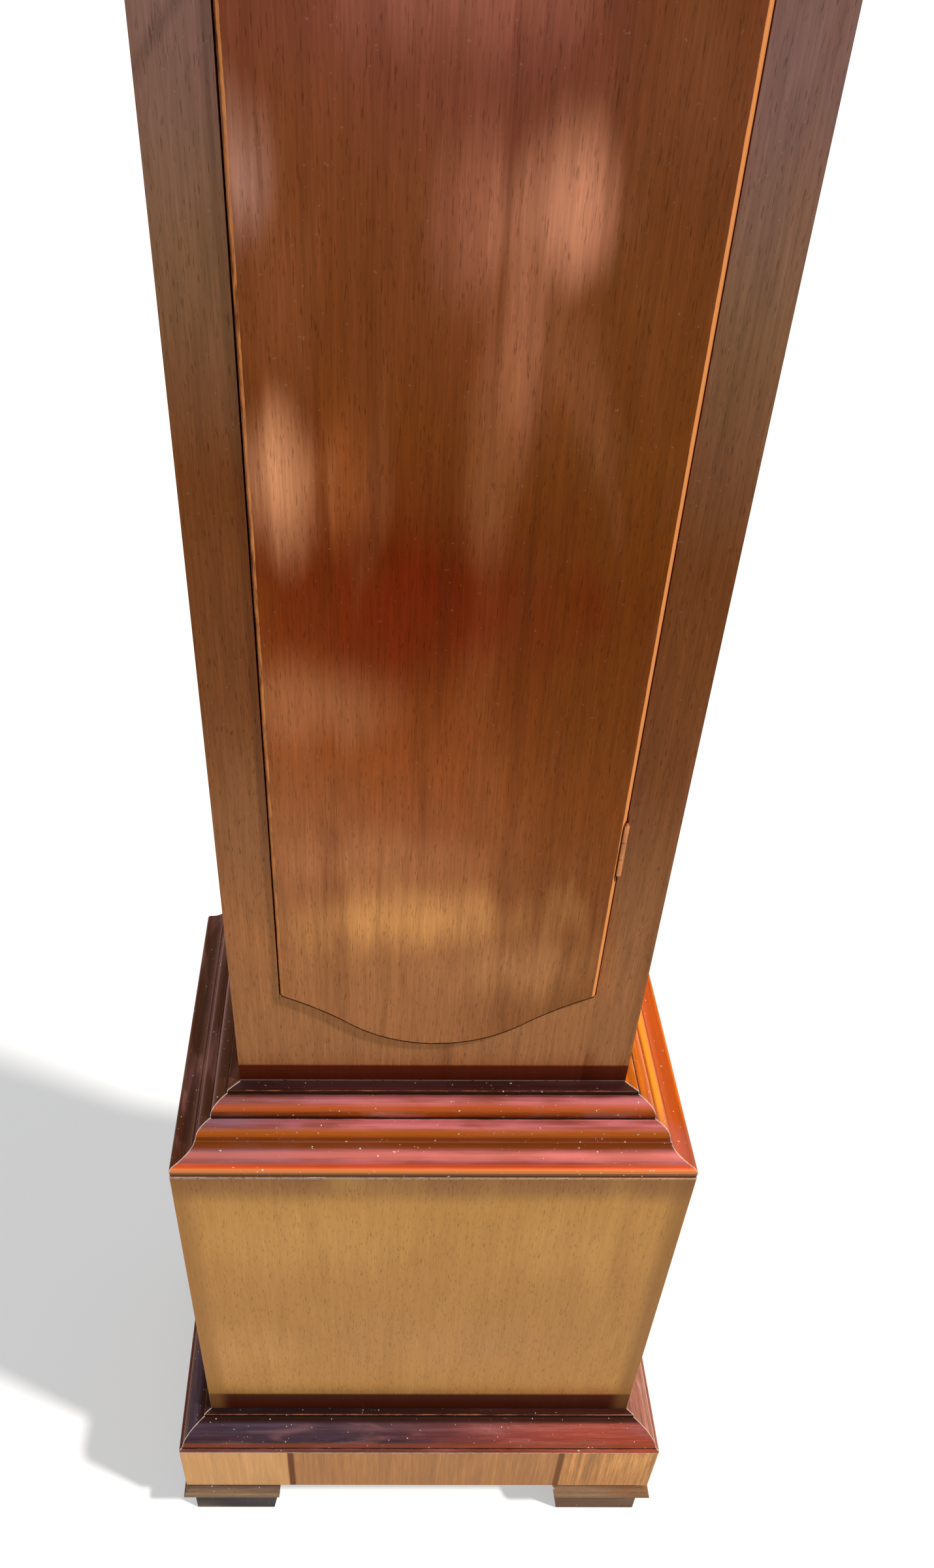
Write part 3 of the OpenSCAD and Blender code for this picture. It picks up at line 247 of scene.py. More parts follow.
def wood(name, **changes):
    look = {**woodDefaults, **changes}
    finish, tree, shader = newFinish(name, Metallic=look["metal"], Specular_IOR_Level=look["gloss"],
                                     Specular_Tint=paint(look["tint"]))
    source = put(tree, "ShaderNodeTexCoord")
    place = source.outputs["Object"]
    cover = source.outputs["UV"] if look["uv"] else place
    axis, shift = look["axis"], look["shift"]
    x, y, z = put(tree, "ShaderNodeSeparateXYZ", {0: place}).outputs
    cloud = grained(tree, place, (7, 7, 5), shift, 2.0, 0.5, 0.3)
    wide = grained(tree, cover, alongGrain(axis, look["lightSize"], 0.28), shift, 2.5, 0.5, 0.5)
    grain = {key: grained(tree, cover, alongGrain(axis, size, share), shift, *noise)
             for key, (size, share, *noise) in grainLayers.items()}
    # height, bent by the clouds and the tilt, picks the ground colour
    height = plus(tree, shaken(tree, z, cloud, look["drift"]), times(tree, x, look["tilt"]))
    color = toned(tree, height, look["heights"], *look["span"])
    # a colour laid over along x: on the mouldings and the feet it is painted sunlight towards the right
    if look["side"]:
        start, end, tint, amount = look["side"]
        color = blended(tree, times(tree, eased(tree, shaken(tree, x, wide, 0.04), start, end), amount), color, tint)
    color = blended(tree, times(tree, eased(tree, wide, 0.5, 0.72), look["lightAmount"]), color, look["light"])
    # each patch of painted reflection, some lighter and some darker, is an ellipse with a wavering, streaky edge, on
    # the front face alone
    if look["paintedReflections"]:
        ahead = eased(tree, y, *look["front"])
        waver = shaken(tree, scaled(tree, grain["ribbon"], 0, 1, -0.55, 0.55), wide, 0.9)
    for patchX, patchZ, across, tall, tint, amount in look["paintedReflections"]:
        reach = plus(tree, distanceFrom(tree, place, patchX, patchZ, across, tall), waver)
        mask = times(tree, eased(tree, reach, *look["patchEdge"]), ahead)
        color = blended(tree, times(tree, mask, amount), color, tint)
    color = blended(tree, times(tree, eased(tree, grain["ribbon"], 0.5, 0.8), look["darkAmount"]), color, look["dark"])
    for key, depth in (("streak", look["streak"]), ("fibre", look["fine"])):
        color = blended(tree, 1.0, color, scaled(tree, grain[key], 0.25, 0.75, 1 - depth, 1 + depth), "MULTIPLY")
    pore = times(tree, eased(tree, grain["pore"], 0.62, 0.72), look["pores"])
    color = blended(tree, pore, color, blended(tree, 1.0, color, 0.35, "MULTIPLY"))
    rough = scaled(tree, wide, 0.2, 0.8, look["polish"], look["polish"] * 1.7)
    # painted sky reflection on what faces upwards, its tint turning to painted shade towards the left end
    if look["up"]:
        tint, start, end, amount, shadedLeftTint = look["up"]
        normal = put(tree, "ShaderNodeNewGeometry").outputs["Normal"]
        facing = put(tree, "ShaderNodeSeparateXYZ", {0: normal}).outputs[2]
        tint = blended(tree, eased(tree, shaken(tree, x, grain["ribbon"], 0.06), *look["leftEnd"]), shadedLeftTint, tint)
        uneven = eased(tree, plus(tree, grain["streak"], wide), 0.75, 1.15, 0.35, 1.0)
        mask = times(tree, eased(tree, facing, start, end), uneven)
        color = blended(tree, times(tree, mask, amount), color, tint)
    # a band lies between two places on an axis, and noise may break it up
    broken = grained(tree, place, (330, 330, 330), shift, 3.0, 0.7)
    for which, start, end, soft, tint, amount, grip in look["bands"]:
        spot = (x, y, z)[which]
        mask = times(tree, eased(tree, spot, start - soft, start + soft), eased(tree, spot, end + soft, end - soft))
        if grip:
            mask = times(tree, mask, eased(tree, broken, 0.62 - 0.3 * grip, 0.7 - 0.3 * grip))
        color = blended(tree, times(tree, mask, amount), color, tint)
        rough = plus(tree, rough, times(tree, mask, 0.25 * amount), clamp=True)
    if look["dust"]:
        specks = eased(tree, grained(tree, place, (520, 520, 520), shift, 1.0), 0.74, 0.8)
        color = blended(tree, times(tree, specks, look["dust"]), color, look["dustTint"])
    # marks carried by the mesh: wear and whitened mitres, with painted sunlight on the door's lips, a painted shadow
    # line at its curved edges, painted shade in hollows, and edges lightened partly as a painted highlight
    for which, start, end, tint, amount in look["worn"]:
        mark = put(tree, "ShaderNodeAttribute", attribute_name=which).outputs["Fac"]
        mark = eased(tree, shaken(tree, mark, grain["patchy"], 0.45), start, end)
        color = blended(tree, times(tree, mark, amount), color, tint)
        rough = plus(tree, rough, times(tree, mark, 0.2 * amount), clamp=True)
    rise = plus(tree, times(tree, grain["fibre"], 0.25), grain["ripple"])
    dress(tree, shader, color, rough, rise, look["ripple"], look["rippleDepth"])
    return finish


# Surfaces
# four-sided faces between neighbouring rows and columns; closed joins the last column to the first
def gridFaces(rows, columns, closed=False):
    i = np.arange(rows - 1)[:, None]
    j = np.arange(columns if closed else columns - 1)[None, :]
    k = (j + 1) % columns
    faces = [i * columns + j, i * columns + k, (i + 1) * columns + k, (i + 1) * columns + j]
    return np.stack(faces, -1).reshape(-1, 4)


# merges doubles, turns the faces outwards, and shades smooth up to an angle
def smoothMesh(mesh, angle):
    work = bmesh.new()
    work.from_mesh(mesh)
    bmesh.ops.remove_doubles(work, verts=work.verts, dist=1e-6)
    bmesh.ops.recalc_face_normals(work, faces=work.faces)
    work.to_mesh(mesh)
    work.free()
    mesh.shade_smooth()
    mesh.set_sharp_from_angle(angle=math.radians(angle))


def newObject(name, data):
    made = bpy.data.objects.new(name, data)
    bpy.context.scene.collection.objects.link(made)
    return made


# the mesh of an object with its modifiers applied
def finalMesh(item):
    bpy.context.view_layer.update()
    return bpy.data.meshes.new_from_object(item.evaluated_get(bpy.context.evaluated_depsgraph_get()))


def addPiece(name, mesh, finishes, body, replaced=()):
    for finish in finishes:
        mesh.materials.append(finish)
    piece = newObject(name, mesh)
    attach(piece, body)
    if replaced:
        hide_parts(*replaced)
    return piece


# a mesh of points, grid faces and flat caps, with one UV place and named marks for each point
def buildMesh(name, points, faces, caps=(), uv=None, marks=None, angle=38):
    mesh = bpy.data.meshes.new(name)
    mesh.from_pydata(points.reshape(-1, 3).tolist(), [], faces.tolist() + [[int(v) for v in cap] for cap in caps])
    if uv is not None:
        corners = np.empty(len(mesh.loops), np.int32)
        mesh.loops.foreach_get("vertex_index", corners)
        layer = mesh.uv_layers.new(name="run")
        layer.data.foreach_set("uv", uv.reshape(-1, 2)[corners].astype(np.float32).ravel())
    for key, values in (marks or {}).items():
        mesh.attributes.new(key, "FLOAT", "POINT").data.foreach_set("value", np.ravel(values).astype(np.float32))
    smoothMesh(mesh, angle)
    return mesh


# the points in first, then an ellipse's arc round centre from one angle to another in degrees
def cornered(first, centre, radiusX, radiusZ, start, end, steps=10):
    turn = np.radians(np.linspace(start, end, steps + 1))
    return np.vstack([first, np.stack([centre[0] + radiusX * np.cos(turn), centre[1] + radiusZ * np.sin(turn)], 1)])


# Millimetres: the longest straight, the width of the smoothing, its step, and the depth at which a mark is full
softening = {"longest": 3.0, "blur": 1.6, "step": 0.2, "full": 0.5}


# rounds each corner of a line with a short quadratic curve, divides its long straights, and measures how far each point
# stands out from (edge wear and painted highlight) or lies behind (painted shade in hollows) the same line smoothed
# over a few millimetres
def softened(line, radius):
    longest, fine = softening["longest"], softening["step"]
    line = np.asarray(line, float)
    step = np.diff(line, axis=0)
    length = np.hypot(*step.T)
    unit = step / length[:, None]
    reach = np.minimum(radius, 0.42 * np.minimum(length[:-1], length[1:]))[:, None]
    before, corner, after = line[1:-1] - unit[:-1] * reach, line[1:-1], line[1:-1] + unit[1:] * reach
    t = np.array([0, 0.33, 0.67, 1])[None, :, None]
    curve = (1 - t) ** 2 * before[:, None] + 2 * t * (1 - t) * corner[:, None] + t ** 2 * after[:, None]
    points = np.vstack([line[:1], curve.reshape(-1, 2), line[-1:]])
    gone = np.concatenate([[0], np.cumsum(np.hypot(*np.diff(points, axis=0).T))])
    extra = [np.linspace(start, end, int((end - start) / longest) + 2)[1:-1]
             for start, end in zip(gone[:-1], gone[1:]) if end - start > longest]
    place = np.unique(np.concatenate([gone, *extra]))
    points = np.stack([np.interp(place, gone, points[:, 0]), np.interp(place, gone, points[:, 1])], 1)
    even = np.arange(-8, gone[-1] + 8, fine)
    exact = [np.interp(even, place, points[:, k]) for k in (0, 1)]
    weight = np.exp(-(np.arange(-20, 21) * fine / softening["blur"]) ** 2)
    weight /= weight.sum()
    mean = [np.convolve(values, weight, "same") for values in exact]
    slope = np.stack([np.gradient(mean[0]), np.gradient(mean[1])], 1)
    slope /= np.maximum(1e-9, np.hypot(*slope.T))[:, None]
    out = (exact[0] - mean[0]) * -slope[:, 1] + (exact[1] - mean[1]) * slope[:, 0]
    out = np.interp(place, even, out) / softening["full"]
    return points, place, np.clip(out, 0, 1), np.clip(-out, 0, 1)


# Mouldings: stations close to a mitre in millimetres, and how fast its mark fades
mitreInsets = np.array([0, 0.35, 0.9, 2.0, 5.0])
mitreFade = 0.7
runSides = (("Front", 0), ("Left", -1), ("Right", 1))


# stations along a run: insets from its start, shares of its plain middle, and insets from its end if that is mitred
def runStations(mitred):
    first = [("start", inset) for inset in mitreInsets]
    last = [("end", inset) for inset in (mitreInsets[::-1] if mitred else [0.0])]
    return first + [("mid", share) for share in np.linspace(0.06, 0.94, 9)] + last


# joins the stations of a run, each holding the closed section, and closes its two ends
def runMesh(name, points, gone, worn, grime, mitre, run, angle=38):
    rows, count = points.shape[:2]
    caps = [range(count), range((rows - 1) * count, rows * count)]
    marks = {"worn": worn, "grime": grime, "mitre": np.array(mitre)[:, None]}
    marks = {key: np.broadcast_to(values, run.shape) for key, values in marks.items()}
    uv = np.stack([run, np.broadcast_to(gone * mm, run.shape)], -1)
    return buildMesh(name, points, gridFaces(rows, count, True), caps, uv, marks, angle)


# one run of moulding: the profile, t outwards and h upwards in millimetres, is carried along the front or along a side.
# A front run goes from -(half + t) to half + t, and a side run from front - t back to the case's back
def mouldingRun(name, profile, radius, half, front, top, side, flip=False, backed=True):
    line, gone, worn, grime = softened(profile, radius)
    if flip:
        line = line * [1, -1]
    if backed:
        line, gone = np.vstack([line, [[0, line[-1, 1]]]]), np.append(gone, gone[-1] + 30)
        worn, grime = np.append(worn, 0), np.append(grime, 0)
    t, h = line[:, 0] * mm, line[:, 1] * mm
    rows, mitre = [], []
    for kind, value in runStations(side == 0):
        if side == 0:
            x = {"start": -(half + t) + value * mm, "end": half + t - value * mm,
                 "mid": 0 * t + (2 * value - 1) * half}[kind]
            rows.append(np.stack([x, front - t, top + h], 1))
        else:
            y = {"start": front - t + value * mm, "end": 0 * t + caseBack,
                 "mid": 0 * t + front + value * (caseBack - front)}[kind]
            rows.append(np.stack([side * (half + t), y, top + h], 1))
        mitred = kind == "start" or (kind == "end" and side == 0)
        mitre.append(math.exp(-value / mitreFade) if mitred else 0)
    points = np.array(rows)
    run = points[:, :, 0] if side == 0 else points[:, :, 1] + 0.7 * side
    return runMesh(name, points, gone, worn, grime, mitre, run)


# a merged copy of a CAD piece with its sharp edges slightly rounded, the rounding in the edge finish
def easedCopy(node, finish, edge, width, angle=math.radians(32)):
    mesh = nodes[node].data.copy()
    mesh.materials.clear()
    work = bmesh.new()
    work.from_mesh(mesh)
    bmesh.ops.remove_doubles(work, verts=work.verts, dist=1e-5)
    bmesh.ops.dissolve_limit(work, angle_limit=math.radians(0.8), verts=work.verts, edges=work.edges)
    work.to_mesh(mesh)
    work.free()
    mesh.shade_smooth()
    mesh.set_sharp_from_angle(angle=angle)
    first, *others = node.split("_")
    piece = addPiece(first + "".join(word.title() for word in others), mesh, [finish, edge] if edge else [finish],
                     nodes[node]["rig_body"], [node])
    if width:
        bevel = piece.modifiers.new("eased", "BEVEL")
        bevel.width, bevel.segments, bevel.use_clamp_overlap = width * mm, 2, True
        bevel.limit_method, bevel.angle_limit = "ANGLE", angle
        if edge:
            bevel.material = 1


# Wood finishes
dusty = (0.3, 0.25, 0.22)
# the door's colours by height and its patches are painted reflections, lighter and darker, over the mahogany's own tone
doorLook = {
    "heights": [(1.1, (0.19, 0.05, 0.03)), (1.03, (0.182, 0.048, 0.015)), (0.95, (0.16, 0.038, 0.006)),
                (0.88, (0.13, 0.016, 0.001)), (0.82, (0.19, 0.04, 0.006)), (0.77, (0.27, 0.066, 0.015)),
                (0.7, (0.3, 0.1, 0.034)), (0.62, (0.36, 0.145, 0.052)), (0.55, (0.33, 0.13, 0.047))],
    "span": (0.5, 1.3), "tilt": 0.35, "side": (0.0, 0.07, (0.135, 0.038, 0.004), 0.6),
    "light": (0.34, 0.12, 0.05), "lightAmount": 0.3,
    "paintedReflections": [(-0.01, 1.11, 0.045, 0.03, (0.36, 0.12, 0.075), 0.75),
                (0.0, 1.028, 0.022, 0.034, (0.4, 0.14, 0.08), 0.5),
                (0.03, 1.03, 0.024, 0.031, (0.62, 0.25, 0.14), 0.88),
                (0.02, 0.985, 0.015, 0.06, (0.42, 0.15, 0.07), 0.8),
                (0.01, 0.93, 0.013, 0.06, (0.27, 0.09, 0.03), 0.7),
                (-0.088, 1.04, 0.013, 0.03, (0.5, 0.24, 0.17), 0.75),
                (-0.055, 0.925, 0.02, 0.035, (0.3, 0.08, 0.02), 0.75),
                (-0.083, 0.929, 0.021, 0.039, (0.66, 0.28, 0.13), 0.93),
                (-0.078, 0.81, 0.045, 0.025, (0.37, 0.13, 0.05), 0.7),
                (-0.02, 0.858, 0.07, 0.038, (0.15, 0.008, 0.0005), 0.65),
                (-0.024, 0.662, 0.078, 0.03, (0.58, 0.26, 0.085), 0.95),
                (-0.05, 0.705, 0.08, 0.024, (0.44, 0.17, 0.065), 0.6),
                (0.04, 0.622, 0.045, 0.035, (0.46, 0.2, 0.075), 0.75)],
    # painted sunlight on the lips, brighter on the right one, and a painted shadow line for the gap under the curved
    # edges
    "worn": [("lip", 0.5, 0.8, (0.72, 0.27, 0.08), 0.9), ("rim", 0.25, 0.6, (0.02, 0.005, 0.003), 0.95)]}
# the stiles' colours by height are painted reflections, and the dark band at the trunk's foot is a painted reflection
# of the moulding below
stileLook = {
    "heights": [(1.1, (0.21, 0.112, 0.096)), (1.0, (0.19, 0.094, 0.048)), (0.9, (0.15, 0.045, 0.012)),
                (0.78, (0.17, 0.055, 0.018)), (0.7, (0.25, 0.1, 0.038)), (0.62, (0.34, 0.135, 0.048)),
                (0.55, (0.31, 0.13, 0.048))],
    "span": (0.5, 1.3), "tilt": 0.2, "drift": 0.03, "light": (0.26, 0.11, 0.05), "lightAmount": 0.3,
    "bands": [(2, 0.5, 0.5285, 0.0012, (0.06, 0.004, 0.001), 0.96, 0), (2, 0.5125, 0.5133, 0.0005, dusty, 0.8, 0.9)]}
# the base's golden colours by height and its patches are painted reflections of a sunlit ground, and the near-black
# band at its foot a painted reflection of the moulding below
baseLook = {
    "heights": [(0.472, (0.24, 0.11, 0.04)), (0.455, (0.3, 0.14, 0.05)), (0.44, (0.46, 0.23, 0.065)),
                (0.26, (0.4, 0.2, 0.062)), (0.175, (0.44, 0.22, 0.06))],
    "span": (0.1, 0.5), "drift": 0.006, "light": (0.54, 0.29, 0.09), "lightAmount": 0.4, "dark": (0.26, 0.1, 0.03),
    "darkAmount": 0.25, "polish": 0.13, "ripple": 0.16, "streak": 0.08, "fine": 0.08,
    "paintedReflections": [(-0.085, 0.4, 0.075, 0.05, (0.56, 0.3, 0.1), 0.5), (0.1, 0.39, 0.06, 0.045, (0.52, 0.28, 0.09), 0.5),
                (-0.13, 0.24, 0.04, 0.04, (0.55, 0.29, 0.1), 0.5), (0.03, 0.25, 0.08, 0.045, (0.44, 0.22, 0.085), 0.5)],
    "bands": [(2, 0.13, 0.1695, 0.002, (0.035, 0.001, 0.001), 0.97, 0),
              (0, 0.158, 0.18, 0.006, (0.2, 0.09, 0.03), 0.55, 0),
              (0, -0.18, -0.158, 0.006, (0.24, 0.11, 0.035), 0.5, 0),
              (2, 0.4692, 0.472, 0.0004, (0.36, 0.3, 0.27), 0.75, 0.75)]}
# the plinth's golden colour, its bright left part, darker middle and thin dark upright lines are painted reflections
plinthLook = {
    "heights": [(0.05, (0.42, 0.19, 0.055)), (0.13, (0.47, 0.22, 0.07))], "streak": 0.5, "fine": 0.3,
    "light": (0.72, 0.38, 0.14), "dark": (0.16, 0.06, 0.02), "darkAmount": 0.45, "lightSize": 0.03,
    "bands": [(0, -0.2, -0.107, 0.0015, (0.64, 0.38, 0.17), 0.6, 0),
              (0, -0.107, 0.1185, 0.0015, (0.32, 0.15, 0.065), 0.6, 0),
              (0, -0.107, -0.102, 0.0008, (0.1, 0.025, 0.01), 0.85, 0),
              (0, 0.1135, 0.1185, 0.0008, (0.1, 0.03, 0.012), 0.75, 0),
              (2, 0.1207, 0.1225, 0.0004, (0.6, 0.5, 0.45), 0.7, 0.6)]}
doorWood = wood("doorMahogany", **doorLook)
trunkWood = wood("trunkMahogany", **stileLook, shift=(3.1, 0.4, 1.7))
sideWood = wood("sideMahogany", heights=[(0.3, (0.3, 0.09, 0.03)), (1.4, (0.24, 0.07, 0.025))], shift=(1.2, 2.2, 0.3),
                polish=0.24)
baseWood = wood("baseMahogany", **baseLook, shift=(0.5, 5.1, 2.9))
baseSideWood = wood("baseSideMahogany", heights=[(0.1, (0.34, 0.14, 0.048)), (0.5, (0.3, 0.11, 0.038))],
                    shift=(4.2, 1.1, 0.6), polish=0.22)
plinthWood = wood("plinthMahogany", **plinthLook, shift=(7.5, 0.2, 1.4))
hoodWood = wood("hoodMahogany", heights=[(1.3, (0.2, 0.055, 0.018)), (1.8, (0.24, 0.065, 0.022))],
                shift=(2.7, 3.3, 8.1))
wornWood = wood("wornEdge", heights=[(0.0, (0.42, 0.17, 0.07)), (1.8, (0.4, 0.16, 0.06))], metal=0.15, polish=0.3,
                streak=0.35, shift=(9.3, 0.7, 3.2), light=(0.6, 0.4, 0.26), lightSize=0.012, lightAmount=0.7)
innerWood = wood("innerBoards", heights=[(0.0, (0.4, 0.26, 0.14)), (1.8, (0.42, 0.28, 0.15))], metal=0.0, gloss=0.2,
                 polish=0.55, light=(0.5, 0.36, 0.2), dark=(0.2, 0.11, 0.05), darkAmount=0.4, dust=0.0)
# the feet's colours by height are painted shade and painted reflection, near black low down with olive bands above, and
# painted sunlight on the right foot
footWood = wood("footWood", axis=0, span=(0.0, 0.06), drift=0.0, metal=0.1, polish=0.4, dust=0.8, darkAmount=0.4,
                light=(0.25, 0.18, 0.12), lightAmount=0.5, side=(0.05, 0.12, (0.2, 0.085, 0.035), 0.55),
                heights=[(0.0, (0.012, 0.012, 0.018)), (0.034, (0.018, 0.016, 0.022)), (0.037, (0.16, 0.1, 0.055)),
                         (0.045, (0.2, 0.13, 0.075)), (0.048, (0.08, 0.05, 0.04)), (0.058, (0.15, 0.1, 0.07))])

# Moulding finishes: the grain follows the run, hollows are darkened as painted shade, arrises lightened partly as wear
# and partly as a painted highlight, and mitres whitened
hollowShadeMark = ("grime", 0.3, 0.55, (0.006, 0.003, 0.002), 0.95)
mitreMark = ("mitre", 0.4, 0.75, (0.64, 0.54, 0.48), 0.7)
mouldingLook = {"axis": 0, "uv": True, "metal": 0.4, "gloss": 0.3, "tint": (1.0, 0.45, 0.2), "polish": 0.14,
                "ripple": 0.1, "streak": 0.4, "fine": 0.25, "light": (0.3, 0.12, 0.11), "lightAmount": 0.4,
                "lightSize": 0.014, "dark": (0.03, 0.003, 0.002), "darkAmount": 0.75, "dust": 0.9,
                "worn": [hollowShadeMark, ("worn", 0.8, 1.1, (0.6, 0.22, 0.1), 0.5), mitreMark]}


# bands on one axis, whose two ends are given from a place
def bandsFrom(axis, place, *rows):
    return [(axis, place + start, place + end, *rest, 0) for start, end, *rest in rows]


# across the waist moulding's profile: painted shade at the joint with the trunk, in the cove and along the bottom, with
# painted highlights and a painted sky reflection between
waistPaintedLightBands = [*bandsFrom(2, waistTop, (-0.0028, 0.002, 0.0003, (0.012, 0.004, 0.004), 0.92),
                         (-0.0295, -0.0215, 0.001, (0.14, 0.03, 0.002), 0.75),
                         (-0.0085, -0.0048, 0.001, (0.44, 0.08, 0.01), 0.65),
                         (-0.0215, -0.0163, 0.001, (0.42, 0.1, 0.007), 0.6),
                         (-0.0329, -0.0304, 0.0008, (0.56, 0.15, 0.12), 0.55)),
              *bandsFrom(1, trunkFront, (-0.0435, -0.0396, 0.0005, (0.58, 0.075, 0.01), 0.85)),
              *bandsFrom(2, waistTop, (-0.0364, -0.0337, 0.0004, (0.6, 0.2, 0.06), 0.85),
                         (-0.042, -0.0364, 0.0003, (0.2, 0.085, 0.025), 0.92),
                         (-0.042, -0.0386, 0.0004, (0.06, 0.03, 0.018), 0.9))]
# on the right return: painted shade in its grooves and cove, a painted highlight on the bead, painted sunlight on the
# nose, and a painted shaded tint near the mitre
waistPaintedSunBands = [*bandsFrom(0, trunkHalf, (0.008, 0.0095, 0.0004, (0.1, 0.02, 0.006), 0.8),
                              (0.018, 0.0198, 0.0004, (0.12, 0.02, 0.004), 0.85),
                              (0.021, 0.0255, 0.001, (0.85, 0.3, 0.02), 0.75),
                              (0.0275, 0.031, 0.0008, (0.22, 0.03, 0.003), 0.75),
                              (0.031, 0.042, 0.002, (0.45, 0.06, 0.005), 0.75)),
                   *bandsFrom(1, trunkFront, (-0.05, -0.012, 0.01, (0.36, 0.09, 0.07), 0.5))]
# on the plinth moulding's front: painted shade at its top joint and a painted lighter band lower down
plinthCapPaintedLightBands = bandsFrom(2, plinthTop, (-0.0035, 0.002, 0.0004, (0.012, 0.004, 0.004), 0.9),
                           (-0.0195, -0.014, 0.001, (0.24, 0.045, 0.01), 0.6))
mouldingLooks = {
    # the front run: painted sunlight towards the right, painted sky reflection where it faces up, and painted shade at
    # its left end
    "waistMahogany": {"shift": (0.9, 6.2, 0.0), "heights": [(0.4, (0.17, 0.032, 0.003)), (0.5, (0.2, 0.04, 0.004))],
                      "side": (-0.16, 0.05, (0.2, 0.03, 0.004), 0.6), "bands": waistPaintedLightBands,
                      "up": ((0.52, 0.14, 0.15), 0.4, 0.9, 0.95, (0.2, 0.09, 0.12))},
    # the left return: a copy in painted shade
    "waistPaintedShadeMahogany": {"shift": (5.9, 2.2, 0.0),
                          "heights": [(0.4, (0.055, 0.014, 0.006)), (0.5, (0.06, 0.016, 0.007))]},
    # the right return: a copy in painted sunlight, its edges whitened by wear
    "waistPaintedSunMahogany": {"shift": (2.9, 1.2, 0.0), "light": (0.6, 0.16, 0.03), "darkAmount": 0.65,
                           "heights": [(0.4, (0.53, 0.11, 0.003)), (0.5, (0.56, 0.12, 0.004))],
                           "worn": [hollowShadeMark, ("worn", 0.75, 1.05, (0.7, 0.55, 0.48), 0.7), mitreMark],
                           "bands": waistPaintedSunBands},
    # the plinth moulding's right return: a copy in painted sunlight
    "plinthPaintedSunMahogany": {"shift": (1.9, 4.2, 0.0), "light": (0.6, 0.4, 0.3), "darkAmount": 0.5, "span": (0.1, 0.18),
                            "drift": 0.0, "heights": [(0.1, (0.42, 0.17, 0.07)), (0.13, (0.34, 0.13, 0.09))]},
    "throatMahogany": {"shift": (6.9, 3.2, 0.0), "heights": [(1.2, (0.2, 0.045, 0.012)), (1.8, (0.22, 0.05, 0.014))]},
    # the plinth moulding's front and left: dark purple painted shade, turning to painted sunlight on the right, with
    # painted sky reflection where it faces up
    "plinthCapMahogany": {"shift": (4.4, 0.2, 0.0),
                          "heights": [(0.1, (0.035, 0.02, 0.032)), (0.5, (0.04, 0.022, 0.035))],
                          "side": (-0.06, 0.15, (0.3, 0.05, 0.03), 1.0), "bands": plinthCapPaintedLightBands,
                          "up": ((0.3, 0.14, 0.14), 0.5, 1.0, 0.25, (0.12, 0.09, 0.14))}}
waistWood, waistPaintedShadeWood, waistPaintedSunWood, plinthPaintedSunWood, throatWood, plinthCapWood = (
    wood(name, **{**mouldingLook, **look}) for name, look in mouldingLooks.items())
print("wood finishes made")

# Case boards keep the CAD's shape, with edges rounded by this many millimetres
for node, finish, width in (
        ("trunk_stiles", trunkWood, 0.08), ("trunk_top_rail", trunkWood, 0.06), ("trunk_bottom_rail", trunkWood, 0.06),
        ("trunk_side_left", sideWood, 0.5), ("trunk_side_right", sideWood, 0.5), ("base_front", baseWood, 0.35),
        ("base_side_left", baseSideWood, 0.35), ("base_side_right", baseSideWood, 0.35),
        ("plinth_boards", plinthWood, 0.4), ("hood_side_left", hoodWood, 0.5), ("hood_side_right", hoodWood, 0.5),
        ("hood_top", hoodWood, 0.5), ("hood_head", hoodWood, 0.4), ("hood_door", hoodWood, 0.5),
        ("hood_columns", hoodWood, 0.0), ("backboard", innerWood, 0.4), ("base_floor", innerWood, 0.4),
        ("glue_blocks", innerWood, 0.6), ("seatboard", innerWood, 0.5), ("hood_mask", innerWood, 0.4)):
    easedCopy(node, finish, wornWood if width > 0.1 and finish is not innerWood else None, width)
print("boards made")

# Moulding between trunk and base, and the same turned over above the trunk, with profiles in millimetres from here on
waistSettings = {"radius": 0.35}
waistProfile = cornered([[0, 0], [7.6, 0], [8.0, -1.4], [8.0, -2.6], [8.6, -2.6]], (8.6, -12.3), 9.9, 9.6, 88, 2)
waistProfile = np.vstack([waistProfile, [[18.5, -12], [18.5, -14], [19.4, -14]]])
waistProfile = cornered(waistProfile, (19.4, -21.2), 8.1, 7.0, 86, 2)
waistProfile = np.vstack([waistProfile, [[28.3, -24.6], [29.0, -25.2]]])
waistProfile = cornered(waistProfile, (41, -24.5), 12, 8.8, 188, 268)
waistProfile = cornered(waistProfile, (41.3, -36.2), 3, 3, 88, 2, 6)
waistProfile = np.vstack([waistProfile, [[44.3, -36.6], [44.0, -36.7], [44.0, -41]]])
# the left return takes the painted-shade finish and the right return the painted-sunlight finish
waistFinishes = {0: waistWood, -1: waistPaintedShadeWood, 1: waistPaintedSunWood}
for label, side in runSides:
    for name, top, flip, node in (("waistMoulding", waistTop, False, "waist_moulding"),
                                  ("throatMoulding", throatFoot, True, "throat_moulding")):
        mesh = mouldingRun(name + label, waistProfile, waistSettings["radius"], trunkHalf, trunkFront, top, side, flip)
        finish = throatWood if flip else waistFinishes[side]
        addPiece(name + label, mesh, [finish], "case", [node])

